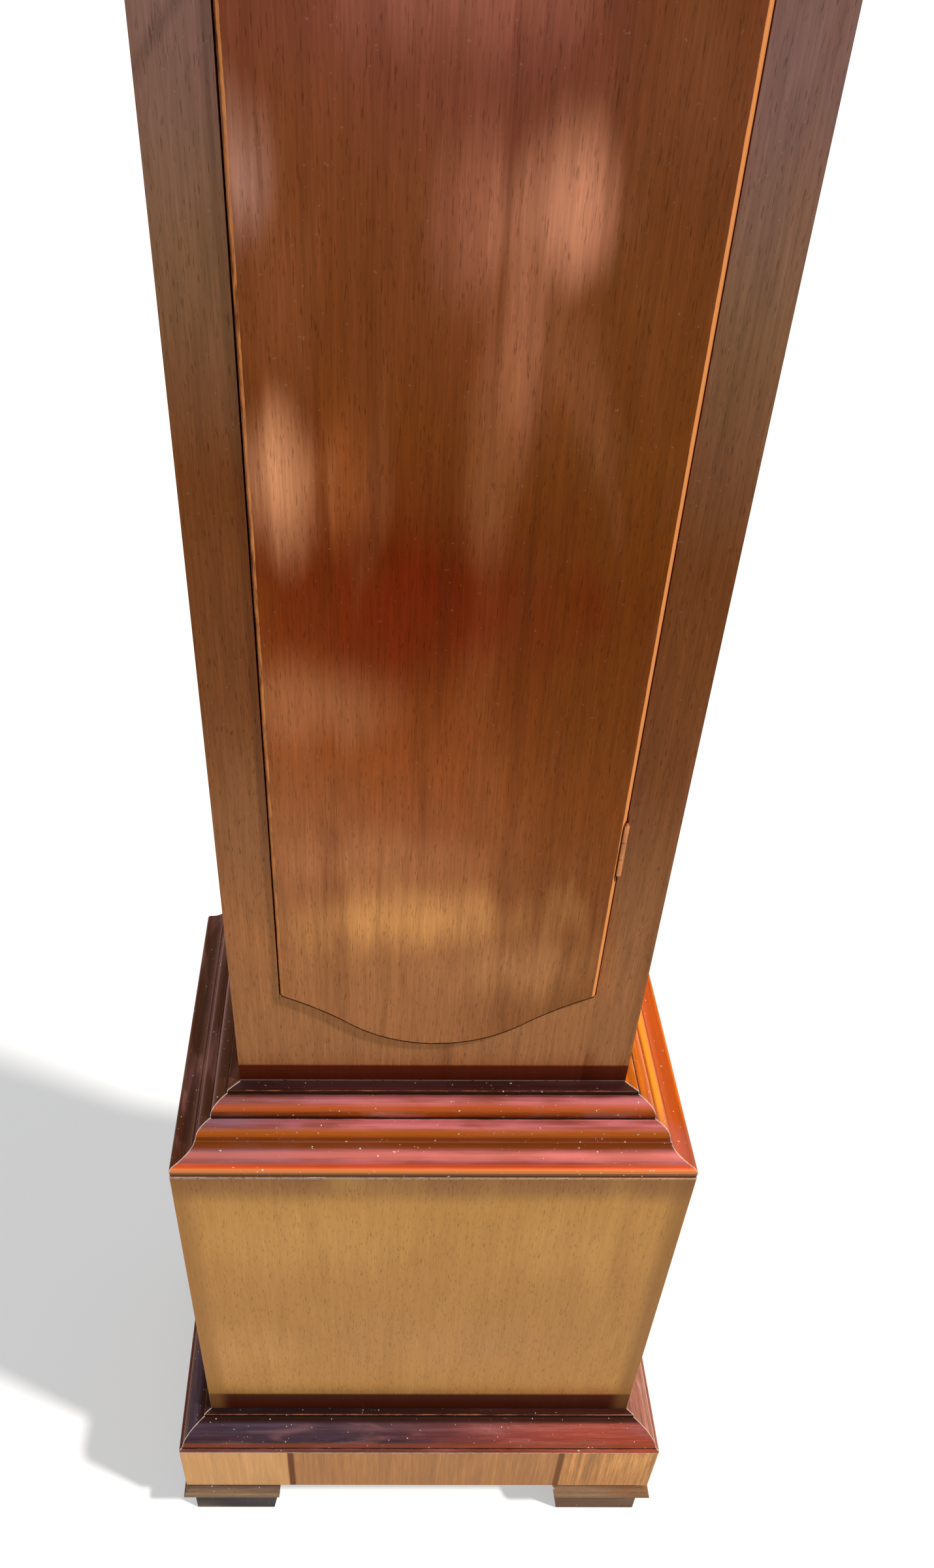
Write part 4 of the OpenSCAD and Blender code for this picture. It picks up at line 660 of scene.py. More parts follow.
# Moulding on top of the plinth
plinthSettings = {"radius": 0.3}
plinthProfile = cornered([[0, 0], [5.2, 0], [5.2, -2.8], [6.0, -2.9]], (6.2, -18.0), 16.0, 15.0, 88, 6, 14)
plinthProfile = np.vstack([plinthProfile, [[22.4, -17.2], [23.0, -17.6], [23.0, -18.8], [24.6, -19.4], [25.0, -20.0],
                                           [25.0, -22.0]]])
for label, side in runSides:
    mesh = mouldingRun("plinthMoulding" + label, plinthProfile, plinthSettings["radius"], baseHalf, baseFront,
                       plinthTop, side)
    # the right return takes the painted-sunlight finish
    finish = plinthCapWood if side <= 0 else plinthPaintedSunWood
    addPiece("plinthMoulding" + label, mesh, [finish], "case", ["plinth_moulding"])
print("mouldings made")

# Door, with lips, painted gap-shadow line and rounding in millimetres, arcs in degrees, and drop and cutters in metres:
# a knuckle and the keyhole as radius and length, a leaf as its three sizes
doorSettings = {"drop": 0.0442, "belly": 38.7, "shoulder": 24.2, "sideLip": 2.8, "curveLip": 0.9, "rimLine": 1.4,
                "backEase": 0.6, "columns": 60, "rows": 90, "pin": 0.0015, "knuckle": (0.0019, 0.038),
                "leaf": (0.0018, 0.018, 0.036), "leafOut": 0.0001, "leafIn": 0.008, "keyhole": (0.0026, 0.03),
                "keyholeIn": 0.009}


# height of the curved edge above its middle: a belly arc from the middle, then a shoulder arc bent the other way
def serpentineRise(x, half, settings):
    belly, shoulder, drop = math.radians(settings["belly"]), math.radians(settings["shoulder"]), settings["drop"]
    # both radii follow from the arcs meeting at a slope of belly and ending at half and drop
    opened, leant = math.cos(shoulder) - math.cos(belly), math.sin(belly) - math.sin(shoulder)
    shared = math.sin(belly) * opened - leant * (1 - math.cos(belly))
    bellyRadius = (half * opened - drop * leant) / shared
    shoulderRadius = (drop * math.sin(belly) - half * (1 - math.cos(belly))) / shared
    x, meets = np.abs(x), bellyRadius * math.sin(belly)
    inner = bellyRadius - np.sqrt(np.maximum(0, bellyRadius ** 2 - np.minimum(x, meets) ** 2))
    across = half - x + shoulderRadius * math.sin(shoulder)
    outer = drop - shoulderRadius * math.cos(shoulder) + np.sqrt(np.maximum(0, shoulderRadius ** 2 - across ** 2))
    return np.where(x < meets, inner, outer)


# a quarter round of a lip in millimetres: how far in from the edge, and how far behind the face
def quarterRound(lip, steps):
    theta = np.linspace(0, math.pi / 2, steps)
    return lip * mm * (1 - np.cos(theta)), lip * mm * (1 - np.sin(theta))


# a grid from edge to edge whose rims round over, wide along the upright edges and fine along the curved ones, then a
# skirt to the back edge, a border round the back, and the flat back
def doorShell(settings, low, high):
    half = high.x
    sideIn, sideDeep = quarterRound(settings["sideLip"], 7)
    curveIn, curveDeep = quarterRound(settings["curveLip"], 5)
    # one more row bounds the painted shadow line along the curved edges
    curveIn, curveDeep = np.append(curveIn, curveIn[-1] + settings["rimLine"] * mm), np.append(curveDeep, 0)
    middle = np.linspace(-half + sideIn[-1], half - sideIn[-1], settings["columns"] + 1)[1:-1]
    x = np.concatenate([-half + sideIn, middle, half - sideIn[::-1]])
    deepX = np.concatenate([sideDeep, 0 * middle, sideDeep[::-1]])
    share = np.linspace(0, 1, settings["rows"] + 1)[1:-1]
    rise = serpentineRise(x, half, settings)
    bottom, top = low.z + rise, high.z - rise
    rows = [bottom + inward for inward in curveIn]
    rows += [bottom + curveIn[-1] + s * (top - bottom - 2 * curveIn[-1]) for s in share]
    rows += [top - inward for inward in curveIn[::-1]]
    deepZ = np.concatenate([curveDeep, 0 * share, curveDeep[::-1]])
    z = np.array(rows)
    n, m = z.shape
    x = np.broadcast_to(x, z.shape)
    face = np.stack([x, low.y + np.maximum(deepX[None, :], deepZ[:, None]), z], -1).reshape(-1, 3)
    index = np.arange(n * m).reshape(n, m)
    rim = np.concatenate([index[0], index[1:, -1], index[-1, -2::-1], index[-2:0:-1, 0]])
    rear = face[rim].copy()
    rear[:, 1] = high.y
    centre, ease = np.array([0, high.y, (low.z + high.z) / 2]), settings["backEase"] * mm
    back = centre + (rear - centre) * [1 - ease / half, 1, 1 - ease / (high.z - centre[2])]
    points = np.vstack([face, rear, back])
    ring = n * m + np.arange(len(rim))
    inner = ring + len(rim)
    skirt = np.stack([rim, np.roll(rim, -1), np.roll(ring, -1), ring], 1)
    border = np.stack([ring, np.roll(ring, -1), np.roll(inner, -1), inner], 1)
    # marks: painted sunlight on the side lips, brighter on the right, and on the door's edges round to the back, and a
    # dark line of painted shadow for the gap along the curved edges
    sunlitLipMark = np.broadcast_to((deepX > 0) * np.where(x[0] > 0, 1, 0.66), z.shape).ravel()
    dark = np.concatenate([curveIn < curveIn[-1], 0 * share, curveIn[::-1] < curveIn[-1]])
    marks = {"lip": np.concatenate([sunlitLipMark, np.ones(len(rim)), np.zeros(len(rim))]),
             "rim": np.concatenate([np.broadcast_to(dark[:, None], z.shape).ravel(), np.zeros(2 * len(rim))])}
    faces = np.vstack([gridFaces(n, m), skirt, border])
    return buildMesh("trunkDoor", points, faces, [inner], points[:, [0, 2]], marks, 50)


# room for the hinge knuckles and leaves, and the keyhole
def doorCutter(settings, low, high):
    hinge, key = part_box("door_hinge_leaves"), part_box("escutcheon")
    keyPlace = key[0].lerp(key[1], 0.5)
    pin, leaf = settings["pin"], settings["leaf"]
    work = bmesh.new()
    for height in (hinge[0].z + leaf[2] / 2, hinge[1].z - leaf[2] / 2):
        radius, length = settings["knuckle"]
        place = Matrix.Translation((hinge[0].x + pin, hinge[0].y + pin, height))
        bmesh.ops.create_cone(work, cap_ends=True, segments=32, radius1=radius, radius2=radius, depth=length,
                              matrix=place)
        place = Matrix.Translation((high.x + settings["leafOut"], low.y + settings["leafIn"], height))
        bmesh.ops.create_cube(work, size=1.0, matrix=place @ Matrix.Diagonal((*leaf, 1)))
    radius, length = settings["keyhole"]
    place = Matrix.Translation((keyPlace.x, low.y + settings["keyholeIn"], keyPlace.z))
    bmesh.ops.create_cone(work, cap_ends=True, segments=32, radius1=radius, radius2=radius, depth=length,
                          matrix=place @ Matrix.Rotation(math.pi / 2, 4, "X"))
    cut = bpy.data.meshes.new("cut")
    work.to_mesh(cut)
    work.free()
    return cut


# the shell with the cutters taken out of it
def makeDoor(settings):
    low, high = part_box("trunk_door")
    blank = newObject("doorBlank", doorShell(settings, low, high))
    cutter = newObject("cutter", doorCutter(settings, low, high))
    boolean = blank.modifiers.new("cut", "BOOLEAN")
    boolean.object, boolean.operation, boolean.solver, boolean.use_self = cutter, "DIFFERENCE", "EXACT", True
    mesh = finalMesh(blank)
    for item in (blank, cutter):
        bpy.data.objects.remove(item)
    mesh.materials.clear()
    addPiece("trunkDoor", mesh, [doorWood], "door", ["trunk_door"])


makeDoor(doorSettings)
print("door made")

# Feet, in millimetres: brackets with a cove and a bead, mitred at the corner, over a set-back block
footSettings = {"length": 80.0, "slope": 9.0, "radius": 0.4}
footProfile = cornered([[-70, 0], [-6, 0], [-6, -2]], (3, -3), 9, 9, 184, 262)
footProfile = cornered(footProfile, (-0.5, -16), 4, 4, 60, -90, 12)
footProfile = np.vstack([footProfile, [[-4, -20], [-4, -57.6], [-4.4, -58], [-70, -58]]])


# a front or side bar runs from its mitre to a sloping end, and a rear bar from a sloping end to the case's back
def footBar(name, settings, kind, sign):
    line, gone, worn, grime = softened(footProfile, settings["radius"])
    t, h = line[:, 0] * mm, line[:, 1] * mm
    length, slant = settings["length"] * mm, settings["slope"] * mm * (h / h.min())
    rows, mitre = [], []
    for inset in (*mitreInsets[:3], 12, 40, None):
        last = inset is None
        if kind == "footRear":
            y = caseBack - (0 if last else (settings["length"] - inset) * mm)
            if inset == 0:
                y = caseBack - length + slant
            rows.append(np.stack([sign * (plinthHalf + t), 0 * t + y, footTop + h], 1))
        elif kind == "footSide":
            y = plinthFront + length - slant if last else plinthFront - t + inset * mm
            rows.append(np.stack([sign * (plinthHalf + t), y, footTop + h], 1))
        else:
            x = plinthHalf - length + slant if last else plinthHalf + t - inset * mm
            rows.append(np.stack([sign * x, plinthFront - t, footTop + h], 1))
        mitre.append(0 if last or kind == "footRear" else math.exp(-inset / mitreFade))
    points = np.array(rows)
    return runMesh(name, points, gone, worn, grime, mitre, points[:, :, 0 if kind == "footFront" else 1], 45)


for label, sign in (("Left", -1), ("Right", 1)):
    for kind in ("footFront", "footSide", "footRear"):
        mesh = footBar(kind + label, footSettings, kind, sign)
        addPiece(kind + label, mesh, [footWood], "case", ["bracket_feet"])
print("feet made")

# Hood's bottom frame
railSettings = {"radius": 0.3}
railProfile = cornered([[0, 0], [21.9, 0], [22.6, -1.4]], (22.7, -11.3), 9.3, 9.3, 82, 0)
railProfile = np.vstack([railProfile, [[32, -13.4], [31.4, -13.7], [31.4, -14.8], [32, -15.1], [32, -25.7]]])
railLow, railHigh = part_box("hood_rail")
railOut = railProfile[:, 0].max() * mm
for label, side in runSides:
    mesh = mouldingRun("hoodRail" + label, railProfile, railSettings["radius"], railHigh.x - railOut,
                       railLow.y + railOut, railHigh.z, side)
    addPiece("hoodRail" + label, mesh, [throatWood], "hood", ["hood_rail"])

# Cornice: an arch, two shoulders and two returns. low is the shoulders' height above the centre of the arch, and the
# grain's runs are in metres
corniceSettings = {"arch": 0.132, "low": 0.052, "radius": 0.3, "archStations": 91, "shoulderStations": 9,
                   "archRun": 0.35, "shoulderRun": 0.05, "endFade": 400}
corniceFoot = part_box("hood_cornice")[0].z
corniceProfile = cornered([[0, 0], [3, 0], [3, 3]], (3, 10), 7, 7, -86, -4)
corniceProfile = cornered(np.vstack([corniceProfile, [[11, 10], [11, 12]]]), (18, 12), 6.5, 6.5, 176, 96)
corniceProfile = np.vstack([corniceProfile, [[18, 20], [18, 24], [0, 24]]])


# the arch turns from where its circle meets the shoulder, at the same height in the section, over to the other side.
# A shoulder runs level from there out to the mitre
def corniceRun(name, settings, side):
    line, gone, worn, grime = softened(corniceProfile, settings["radius"])
    t, h = line[:, 0] * mm, line[:, 1] * mm
    radius, level = settings["arch"] + h, settings["low"] + h
    part = "shoulder" if side else "arch"
    share = np.linspace(0, 1, settings[part + "Stations"])[:, None]
    if side:
        meets = np.sqrt(radius ** 2 - level ** 2)
        x = side * (meets + share * (hoodHalf + t - meets))
        z = np.broadcast_to(level, x.shape)
    else:
        start = np.arcsin(level / radius)
        angle = start + share * (math.pi - 2 * start)
        x, z = radius * np.cos(angle), radius * np.sin(angle)
    points = np.stack([x, np.broadcast_to(hoodFront - t, x.shape), corniceFoot - settings["low"] + z], -1)
    ends = np.exp(-np.minimum(share, 1 - share)[:, 0] * settings["endFade"])
    run = share * settings[part + "Run"] + 0 * x + 0.3 * side
    return runMesh(name, points, gone, worn, grime, ends, run)


for label, side in (("Arch", 0), ("ShoulderLeft", -1), ("ShoulderRight", 1), ("ReturnLeft", -1), ("ReturnRight", 1)):
    if label.startswith("Return"):
        mesh = mouldingRun("cornice" + label, corniceProfile, corniceSettings["radius"], hoodHalf, hoodFront,
                           corniceFoot, side, backed=False)
    else:
        mesh = corniceRun("cornice" + label, corniceSettings, side)
    addPiece("cornice" + label, mesh, [throatWood], "hood", ["hood_cornice"])
print("hood mouldings made")

# Metals. round: x and z of the turning marks' centre; matted: radius within which the surface is punched
metalDefaults = {"color": (0.7, 0.48, 0.18), "dark": (0.35, 0.2, 0.06), "tarnish": 0.5, "rough": (0.22, 0.42),
                 "grain": (300, 300, 300), "round": None, "turning": 2600, "shift": (0.0, 0.0, 0.0), "scratch": 0.08,
                 "matted": None, "grit": (1500, 1500, 1500), "metal": 1.0}


# metal with tarnish in clouds and spots, and fine marks that run along the grain or turn round a centre
def metal(name, **changes):
    look = {**metalDefaults, **changes}
    finish, tree, shader = newFinish(name, Metallic=look["metal"])
    shift = look["shift"]
    place = put(tree, "ShaderNodeTexCoord").outputs["Object"]
    cloud = grained(tree, place, (35, 35, 35), shift, 4.0, 0.6, 0.4)
    spots = grained(tree, place, (420, 420, 420), shift, 2.0, 0.6)
    if look["round"]:
        reach = distanceFrom(tree, place, *look["round"])
        rings = {0: times(tree, reach, look["turning"]), 1: scaled(tree, cloud, 0, 1, 0, 2)}
        rings = put(tree, "ShaderNodeCombineXYZ", rings).outputs[0]
        fine = put(tree, "ShaderNodeTexNoise", {"Vector": rings, "Scale": 1.0, "Detail": 2.0}).outputs[0]
    else:
        fine = grained(tree, place, look["grain"], shift, 3.0, 0.6)
    tarnish = times(tree, eased(tree, cloud, 0.35, 0.75), look["tarnish"])
    color = blended(tree, tarnish, look["color"], look["dark"])
    spotted = times(tree, eased(tree, spots, 0.64, 0.74), 0.5 * look["tarnish"])
    color = blended(tree, spotted, color, look["dark"])
    color = blended(tree, 1.0, color, scaled(tree, fine, 0.2, 0.8, 0.88, 1.1), "MULTIPLY")
    rough = scaled(tree, plus(tree, times(tree, cloud, 0.6), times(tree, fine, 0.4)), 0.3, 0.7, *look["rough"])
    rise = fine
    if look["matted"]:
        grit = grained(tree, place, look["grit"], shift, 2.0, 0.6)
        inside = eased(tree, reach, look["matted"], look["matted"] - 0.001)
        color = blended(tree, times(tree, inside, eased(tree, grit, 0.4, 0.6, 0.1, 0.6)), color, look["dark"])
        rough = plus(tree, rough, times(tree, inside, 0.2))
        rise = plus(tree, times(tree, rise, 0.3), times(tree, times(tree, inside, grit), 3.0))
    dress(tree, shader, color, rough, rise, look["scratch"], 0.0003)
    return finish


# clear glass with faint smears and waves
def clearGlass(name):
    finish, tree, shader = newFinish(name, Transmission_Weight=1.0, IOR=1.45)
    place = put(tree, "ShaderNodeTexCoord").outputs["Object"]
    smear = grained(tree, place, (18, 18, 9), (3, 1, 2), 3.0, 0.6, 0.8)
    wave = grained(tree, place, (9, 9, 5), (1, 5, 2), 1.0)
    tint = blended(tree, eased(tree, smear, 0.4, 0.8), (0.97, 0.985, 0.98), (0.93, 0.96, 0.95))
    dress(tree, shader, tint, eased(tree, smear, 0.5, 0.85, 0.0, 0.07), wave, 0.05, 0.002)
    return finish


# gut that is rougher where it is paler
def gutFinish(name):
    finish, tree, shader = newFinish(name, Subsurface_Weight=0.1)
    tone = grained(tree, put(tree, "ShaderNodeTexCoord").outputs["Object"], (900, 900, 260), (1, 1, 1), 3.0, 0.6)
    color = toned(tree, tone, [(0.3, (0.36, 0.24, 0.1)), (0.7, (0.62, 0.48, 0.26))])
    dress(tree, shader, color, scaled(tree, tone, 0.3, 0.7, 0.35, 0.6), tone, 0.3, 0.0003)
    return finish


# centres of the turned marks
dialRound = (0, dialCentre)
bobRound = (0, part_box("pendulum_bob")[1].z - 0.048)
metalLooks = {
    "caseBrass": {"color": (0.68, 0.44, 0.16), "shift": (1, 2, 3)},
    "hingeBrass": {"color": (0.62, 0.24, 0.08), "dark": (0.2, 0.06, 0.02), "rough": (0.3, 0.5), "shift": (5, 2, 1),
                   "metal": 0.7},
    "dialBrass": {"color": (0.76, 0.53, 0.2), "shift": (2, 7, 3), "round": dialRound, "matted": 0.0765},
    "castBrass": {"color": (0.74, 0.5, 0.18), "dark": (0.22, 0.12, 0.04), "rough": (0.25, 0.5), "scratch": 0.3,
                  "shift": (8, 1, 5)},
    "silverRing": {"color": (0.74, 0.73, 0.68), "dark": (0.5, 0.46, 0.36), "tarnish": 0.35, "rough": (0.3, 0.42),
                   "round": dialRound, "shift": (4, 4, 1)},
    "blackWax": {"color": (0.012, 0.011, 0.01), "dark": (0.04, 0.03, 0.025), "tarnish": 0.3, "rough": (0.35, 0.6),
                 "metal": 0.0, "shift": (4, 9, 1)},
    "workBrass": {"color": (0.78, 0.55, 0.22), "tarnish": 0.3, "rough": (0.18, 0.32), "grain": (80, 80, 1200),
                  "shift": (1, 9, 6)},
    "blueSteel": {"color": (0.02, 0.035, 0.12), "dark": (0.03, 0.012, 0.05), "rough": (0.12, 0.25),
                  "shift": (3, 3, 3)},
    "brightSteel": {"color": (0.55, 0.55, 0.56), "dark": (0.3, 0.27, 0.24), "tarnish": 0.3, "rough": (0.18, 0.35),
                    "shift": (6, 3, 3)},
    "bobBrass": {"color": (0.8, 0.55, 0.2), "rough": (0.14, 0.3), "round": bobRound, "shift": (6, 8, 3)}}
metals = {name: metal(name, **look) for name, look in metalLooks.items()}
metals["clearGlass"] = clearGlass("clearGlass")
gut = gutFinish("gutLine")
print("metals made")

# Fittings and movement, each finish with its pieces and the rounding of their edges in millimetres
for finish, widths in (
        ("hingeBrass", {"trunk_hinge_leaves": 0.1, "door_hinge_leaves": 0.1}),
        ("caseBrass", {"hood_hinge_leaves": 0.15, "hood_door_leaves": 0.15, "door_lock": 0.3, "door_key": 0.12,
                       "escutcheon": 0.25, "hood_knob": 0}),
        ("brightSteel", {"lock_bolt": 0.2}),
        ("dialBrass", {"dial_plate": 0.2}),
        ("castBrass", {"dial_spandrels": 0.45}),
        ("workBrass", {"front_plate": 0.3, "back_plate": 0.3, "plate_pillars": 0.2, "back_cock": 0.3,
                       "going_barrel": 0.2, "great_wheel": 0.1, "centre_wheel": 0.08, "third_wheel": 0.08,
                       "escape_wheel": 0.08, "minute_wheel": 0.08, "hour_wheel": 0.1, "weight_pulley": 0.2,
                       "weight_stirrup": 0.25}),
        ("blueSteel", {"minute_hand": 0.15, "hour_hand": 0.15}),
        ("brightSteel", {"pallets": 0.15, "pendulum_rod": 0.1}),
        ("bobBrass", {"pendulum_bob": 0.3, "weight": 0.8}),
        ("clearGlass", {"hood_glass": 0})):
    for node, width in widths.items():
        easedCopy(node, metals[finish], None, width)
print("fittings made")

# Chapter ring with its engraved and waxed figures, in metres
ringSettings = {"circles": (0.1012, 0.0982, 0.0795, 0.0775), "archCircles": (0.0285, 0.0265, 0.0085), "archDrop": 0.03,
                "figure": 0.0145, "figureMid": 0.0885, "letters": {"I": 0.0042, "V": 0.0096, "X": 0.0096},
                "thick": 0.0022, "thin": 0.0006, "serif": 0.0005, "letterGap": 0.0014, "serifGap": 0.0003,
                "number": 0.0042, "numberMid": 0.1035, "depth": 0.00008, "line": 0.00035, "fifth": 2.4,
                "petals": 12, "petal": 0.0006, "petalReach": 0.0165, "petalTurn": 0.52, "petalPower": 0.6}


# a thin bar along a line of x and z points, of one width, standing out from the ring by depth
def stripBoxes(points, across, front, depth, closed=False):
    points = np.asarray(points, float)
    step = np.roll(points, -1, 0) - np.roll(points, 1, 0) if closed else np.gradient(points, axis=0)
    side = np.stack([-step[:, 1], step[:, 0]], 1)
    side *= across / 2 / np.maximum(1e-12, np.hypot(*side.T))[:, None]
    left, right = points + side, points - side
    ring = np.stack([np.insert(edge, 1, front + out, 1) for edge, out in ((left, -depth), (right, -depth),
                                                                          (right, depth), (left, depth))], 1)
    if closed:
        ring = np.concatenate([ring, ring[:1]])
    faces, cap = gridFaces(len(ring), 4, True), np.arange(4)
    return ring.reshape(-1, 3), faces if closed else np.vstack([faces, cap, cap + 4 * len(points) - 4])


# thick and thin strokes of a Roman numeral and its serifs, with its middle at the origin and its foot downwards
def romanStrokes(hour, settings):
    tall, thick, thin, wide = settings["figure"] / 2, settings["thick"], settings["thin"], settings["letters"]
    text = ["I", "II", "III", "IIII", "V", "VI", "VII", "VIII", "IX", "X", "XI", "XII"][hour - 1]
    edge = sum(wide[letter] for letter in text) / 2
    at, strokes = -edge, []
    for letter in text:
        half, middle = wide[letter] / 2 - settings["letterGap"], at + wide[letter] / 2
        if letter == "I":
            strokes.append(((middle, -tall), (middle, tall), thick))
        else:
            # a V meets in a point, and an X crosses
            foot = 0 if letter == "V" else half
            strokes += [((middle - half, tall), (middle + foot, -tall), thick),
                        ((middle + half, tall), (middle - foot, -tall), thin)]
        at += wide[letter]
    edge -= settings["serifGap"]
    return strokes + [((-edge, sign * tall), (edge, sign * tall), settings["serif"]) for sign in (-1, 1)]


# points and faces of every engraved bar of the ring: circles, minute marks, numerals, and a rosette in the arch
def ringBars(settings, front, arch):
    bars = []

    def add(points, width, closed=False):
        bars.append(stripBoxes(points, width, front, settings["depth"], closed))

    turn = np.linspace(0, 2 * math.pi, 181)[:-1]
    circle = np.stack([np.sin(turn), np.cos(turn)], 1)
    for radii, middle in ((settings["circles"], dialCentre), (settings["archCircles"], arch)):
        for radius in radii:
            add(circle * radius + [0, middle], settings["line"], True)
    outer, minuteIn, hourOut, inner = settings["circles"]
    for minute in range(60):
        angle = math.radians(6 * minute)
        ray = np.array([math.sin(angle), math.cos(angle)])
        fifth = minute % 5 == 0
        tick = settings["line"] * (settings["fifth"] if fifth else 1)
        add([ray * minuteIn + [0, dialCentre], ray * outer + [0, dialCentre]], tick)
        if fifth:
            add([ray * inner + [0, dialCentre], ray * hourOut + [0, dialCentre]], settings["line"])
            across = np.array([ray[1], -ray[0]])
            for start, end, width in romanStrokes(minute // 5 or 12, settings):
                add([across * x + ray * (settings["figureMid"] + z) + [0, dialCentre] for x, z in (start, end)], width)
    # each petal's reach is a power of the sine of its share of the turn
    share = np.linspace(0, math.pi, 25)
    reach = settings["archCircles"][-1] + settings["petalReach"] * np.sin(share) ** settings["petalPower"]
    for petal in range(settings["petals"]):
        angle = 2 * math.pi * petal / settings["petals"] + (share / math.pi - 0.5) * settings["petalTurn"]
        add(np.stack([reach * np.sin(angle), reach * np.cos(angle) + arch], 1), settings["petal"])
    starts = np.cumsum([0] + [len(points) for points, faces in bars])
    return (np.vstack([points for points, faces in bars]),
            np.vstack([faces + start for (points, faces), start in zip(bars, starts)]))


# the CAD's ring, merged, with the bars and the minute numbers set in it
def makeRing(settings):
    low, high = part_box("chapter_ring")
    front = low.y + settings["depth"]
    work = bmesh.new()
    work.from_mesh(nodes["chapter_ring"].data)
    bmesh.ops.remove_doubles(work, verts=work.verts, dist=1e-5)

    # adds a mesh in the second finish, the wax
    def engrave(mesh):
        mesh.polygons.foreach_set("material_index", np.ones(len(mesh.polygons), np.int32))
        work.from_mesh(mesh)
        bpy.data.meshes.remove(mesh)

    points, faces = ringBars(settings, front, high.z - settings["archDrop"])
    bars = bpy.data.meshes.new("bars")
    bars.from_pydata(points.tolist(), [], faces.tolist())
    engrave(bars)
    # each number's foot is towards the centre
    for number in range(5, 65, 5):
        curve = bpy.data.curves.new("figure", "FONT")
        curve.body, curve.size, curve.extrude = str(number), settings["number"], settings["depth"]
        curve.align_x, curve.align_y = "CENTER", "CENTER"
        figure = newObject("figure", curve)
        drawn = finalMesh(figure)
        bpy.data.objects.remove(figure)
        angle = math.radians(6 * number)
        ray = Vector((math.sin(angle), 0, math.cos(angle)))
        across = Vector((math.cos(angle), 0, -math.sin(angle)))
        place = Matrix((across, ray, (0, -1, 0))).transposed().to_4x4()
        place.translation = ray * settings["numberMid"] + Vector((0, front, dialCentre))
        drawn.transform(place)
        drawn.uv_layers.remove(drawn.uv_layers[0])  # the ring has none
        engrave(drawn)
    bmesh.ops.recalc_face_normals(work, faces=work.faces)
    mesh = bpy.data.meshes.new("chapterRing")
    work.to_mesh(mesh)
    work.free()
    # the CAD's own normals no longer fit the merged mesh
    if "custom_normal" in mesh.attributes:
        mesh.attributes.remove(mesh.attributes["custom_normal"])
    mesh.shade_smooth()
    mesh.set_sharp_from_angle(angle=math.radians(30))
    addPiece("chapterRing", mesh, [metals["silverRing"], metals["blackWax"]], "case", ["chapter_ring"])


makeRing(ringSettings)
print("chapter ring made")

# Gut line, in metres: it hangs straight, and its two runs each get a mesh of their own
lineSettings = {"radius": 0.00075, "strands": 3, "bulge": 0.1, "pitch": 0.006, "around": 18, "y": 0.0064,
                "left": -0.01255, "right": 0.03145, "top": 1.4367, "hole": 1.3886, "low": 0.7406, "lead": 0.008,
                "travel": 0.6, "turns": 3, "spread": 0.0016, "knot": 0.0029, "knotTall": 0.00195, "knotLift": 0.002,
                "knotWave": 0.07, "knotRings": 15, "knotAround": 32, "knotOpen": 0.12}


# a twisted cord: three strands bulge round the path, and the bulges turn as they go along it
def lineMesh(name, settings, path):
    path = np.asarray(path, float)
    step = np.gradient(path, axis=0)
    step /= np.linalg.norm(step, axis=1)[:, None]
    gone = np.concatenate([[0], np.cumsum(np.linalg.norm(np.diff(path, axis=0), axis=1))])[:, None]
    depth = np.array([0.0, 1.0, 0.0])
    across = np.cross(step, depth)
    count, bulge = settings["around"], settings["bulge"]
    turn = np.linspace(0, 2 * math.pi, count + 1)[:-1][None, :]
    reach = 1 - bulge + bulge * np.cos(settings["strands"] * turn - 2 * math.pi * gone / settings["pitch"])
    reach = (settings["radius"] * reach)[..., None]
    points = path[:, None] + reach * (np.cos(turn)[..., None] * across[:, None] + np.sin(turn)[..., None] * depth)
    caps = [range(count), range((len(path) - 1) * count, len(path) * count)]
    return buildMesh(name, points, gridFaces(len(path), count, True), caps, angle=60)


# points a millimetre apart, straight up from low to high
def straight(x, low, high, settings):
    z = np.arange(low, high + mm / 2, mm)
    return np.stack([0 * z + x, 0 * z + settings["y"], np.minimum(z, high)], 1)


def addLine(name, mesh, body="case"):
    return addPiece(name, mesh, [gut], body, ["weight_line"])


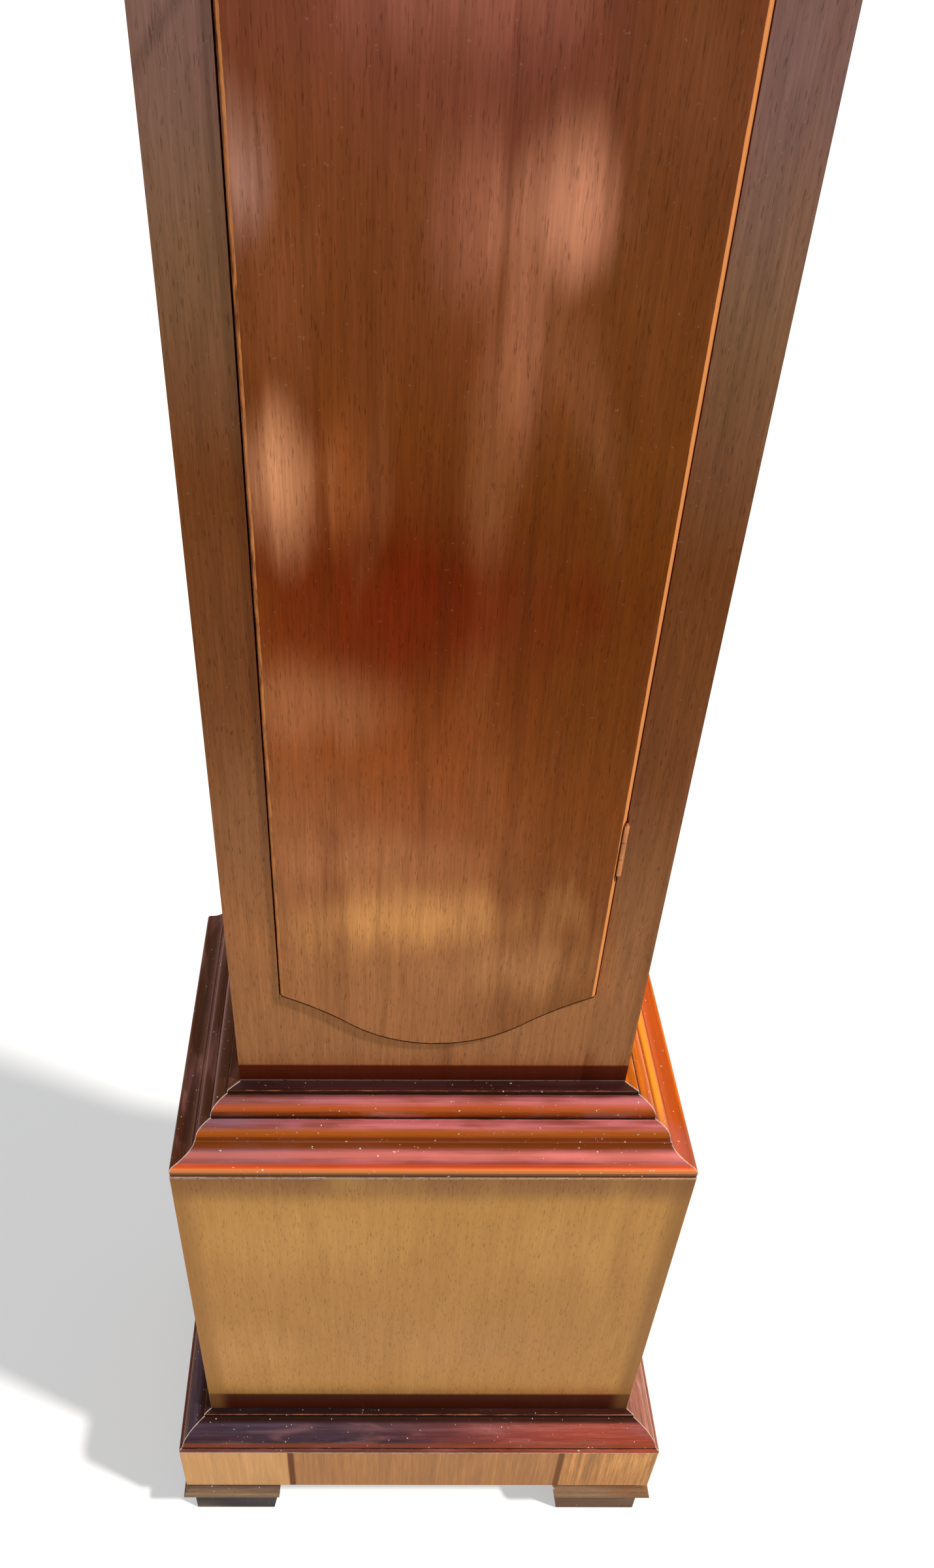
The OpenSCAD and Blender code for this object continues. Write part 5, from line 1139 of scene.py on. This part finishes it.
def makeLine(settings):
    left, right, y, low = settings["left"], settings["right"], settings["y"], settings["low"]
    # the left run's lead off the barrel, which keeps its length, is a piece apart from the rest
    leave, hole = settings["top"] - settings["lead"], settings["hole"]
    addLine("lineLead", lineMesh("lineLead", settings, straight(left, leave, settings["top"], settings)))
    leftRun = addLine("lineLeft", lineMesh("lineLeft", settings, straight(left, low, leave, settings)))
    rightRun = addLine("lineRight", lineMesh("lineRight", settings, straight(right, low, hole, settings)))
    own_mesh(leftRun)
    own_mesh(rightRun)
    # half a turn under the pulley
    turn = np.linspace(math.pi, 2 * math.pi, 60)
    middle, radius = (left + right) / 2, (right - left) / 2
    under = np.stack([middle + radius * np.cos(turn), 0 * turn + y, low + radius * np.sin(turn)], 1)
    addLine("lineBight", lineMesh("lineBight", settings, under), "weight")
    # turns on the barrel: one in a plane, then the others wind backwards beside it
    turn = np.linspace(math.pi, (1 - 2 * settings["turns"]) * math.pi, 260)
    back = np.maximum(0, (-math.pi - turn) / (2 * math.pi)) * settings["spread"]
    coil = np.stack([-left * np.cos(turn), y + back, settings["top"] - left * np.sin(turn)], 1)
    addLine("lineTurns", lineMesh("lineTurns", settings, coil), "barrel")
    # knot above the seatboard: a flattened ball of the line, its radius waving as it goes round
    rings, around, wave = settings["knotRings"], settings["knotAround"], settings["knotWave"]
    steepest = math.pi / 2 - settings["knotOpen"]
    up, turn = np.meshgrid(np.linspace(-steepest, steepest, rings), np.linspace(0, 2 * math.pi, around + 1)[:-1],
                           indexing="ij")
    reach = settings["knot"] * np.cos(up) * (1 - wave + wave * np.cos(5 * turn + 6 * up))
    knot = np.stack([right + reach * np.cos(turn), y + reach * np.sin(turn),
                     hole + settings["knotLift"] + settings["knotTall"] * np.sin(up)], -1)
    caps = [range(around), range((rings - 1) * around, rings * around)]
    addLine("lineKnot", buildMesh("lineKnot", knot, gridFaces(rings, around, True), caps, angle=60))


makeLine(lineSettings)
print("line made")

# Floor, backdrop and light
stageSettings = {"sun": 4.5, "sunAngle": 4.0, "sunColor": (1.0, 0.97, 0.92), "toSun": (0.62, -0.25, 0.74), "sky": 0.35,
                 "skyColor": (0.93, 0.97, 1.0), "floor": 0.5, "floorGlow": 0.45, "floorReach": 14.0}


# 1 for rays from the camera, mirrors and glass, so that they meet a white backdrop
def seenDirectly(tree):
    rays = put(tree, "ShaderNodeLightPath")
    seen = reckon(tree, "MAXIMUM", rays.outputs["Is Camera Ray"], rays.outputs["Is Glossy Ray"])
    return reckon(tree, "MAXIMUM", seen, rays.outputs["Is Transmission Ray"])


def makeStage(settings):
    lamp = bpy.data.lights.new("sun", "SUN")
    lamp.energy, lamp.angle, lamp.color = settings["sun"], math.radians(settings["sunAngle"]), settings["sunColor"]
    sun = newObject("sun", lamp)
    sun.rotation_euler = Vector(settings["toSun"]).to_track_quat("Z", "Y").to_euler()
    world = bpy.data.worlds.new("studio")
    bpy.context.scene.world = world
    world.use_nodes = True
    tree = world.node_tree
    tree.nodes.clear()
    soft = put(tree, "ShaderNodeBackground", {"Color": paint(settings["skyColor"]), "Strength": settings["sky"]})
    white = put(tree, "ShaderNodeBackground", {"Color": (1, 1, 1, 1), "Strength": 1.0})
    mix = put(tree, "ShaderNodeMixShader", {0: seenDirectly(tree), 1: soft.outputs[0], 2: white.outputs[0]})
    put(tree, "ShaderNodeOutputWorld", {0: mix.outputs[0]})
    finish = bpy.data.materials.new("paleFloor")
    finish.use_nodes = True
    tree = finish.node_tree
    tree.nodes.clear()
    matt = put(tree, "ShaderNodeBsdfDiffuse", {"Color": paint(settings["floor"])})
    strength = times(tree, seenDirectly(tree), settings["floorGlow"])
    glow = put(tree, "ShaderNodeEmission", {"Color": (1, 1, 1, 1), "Strength": strength})
    both = put(tree, "ShaderNodeAddShader", {0: matt.outputs[0], 1: glow.outputs[0]})
    put(tree, "ShaderNodeOutputMaterial", {0: both.outputs[0]})
    reach = np.array([-1, 1]) * settings["floorReach"]
    x, y = np.meshgrid(reach, reach)
    mesh = bpy.data.meshes.new("floor")
    mesh.from_pydata(np.stack([x.ravel(), y.ravel(), np.zeros(4)], 1).tolist(), [], gridFaces(2, 2).tolist())
    mesh.materials.append(finish)
    floor = newObject("floor", mesh)
    bpy.context.scene.view_settings.view_transform = "Standard"


makeStage(stageSettings)
print("stage made")
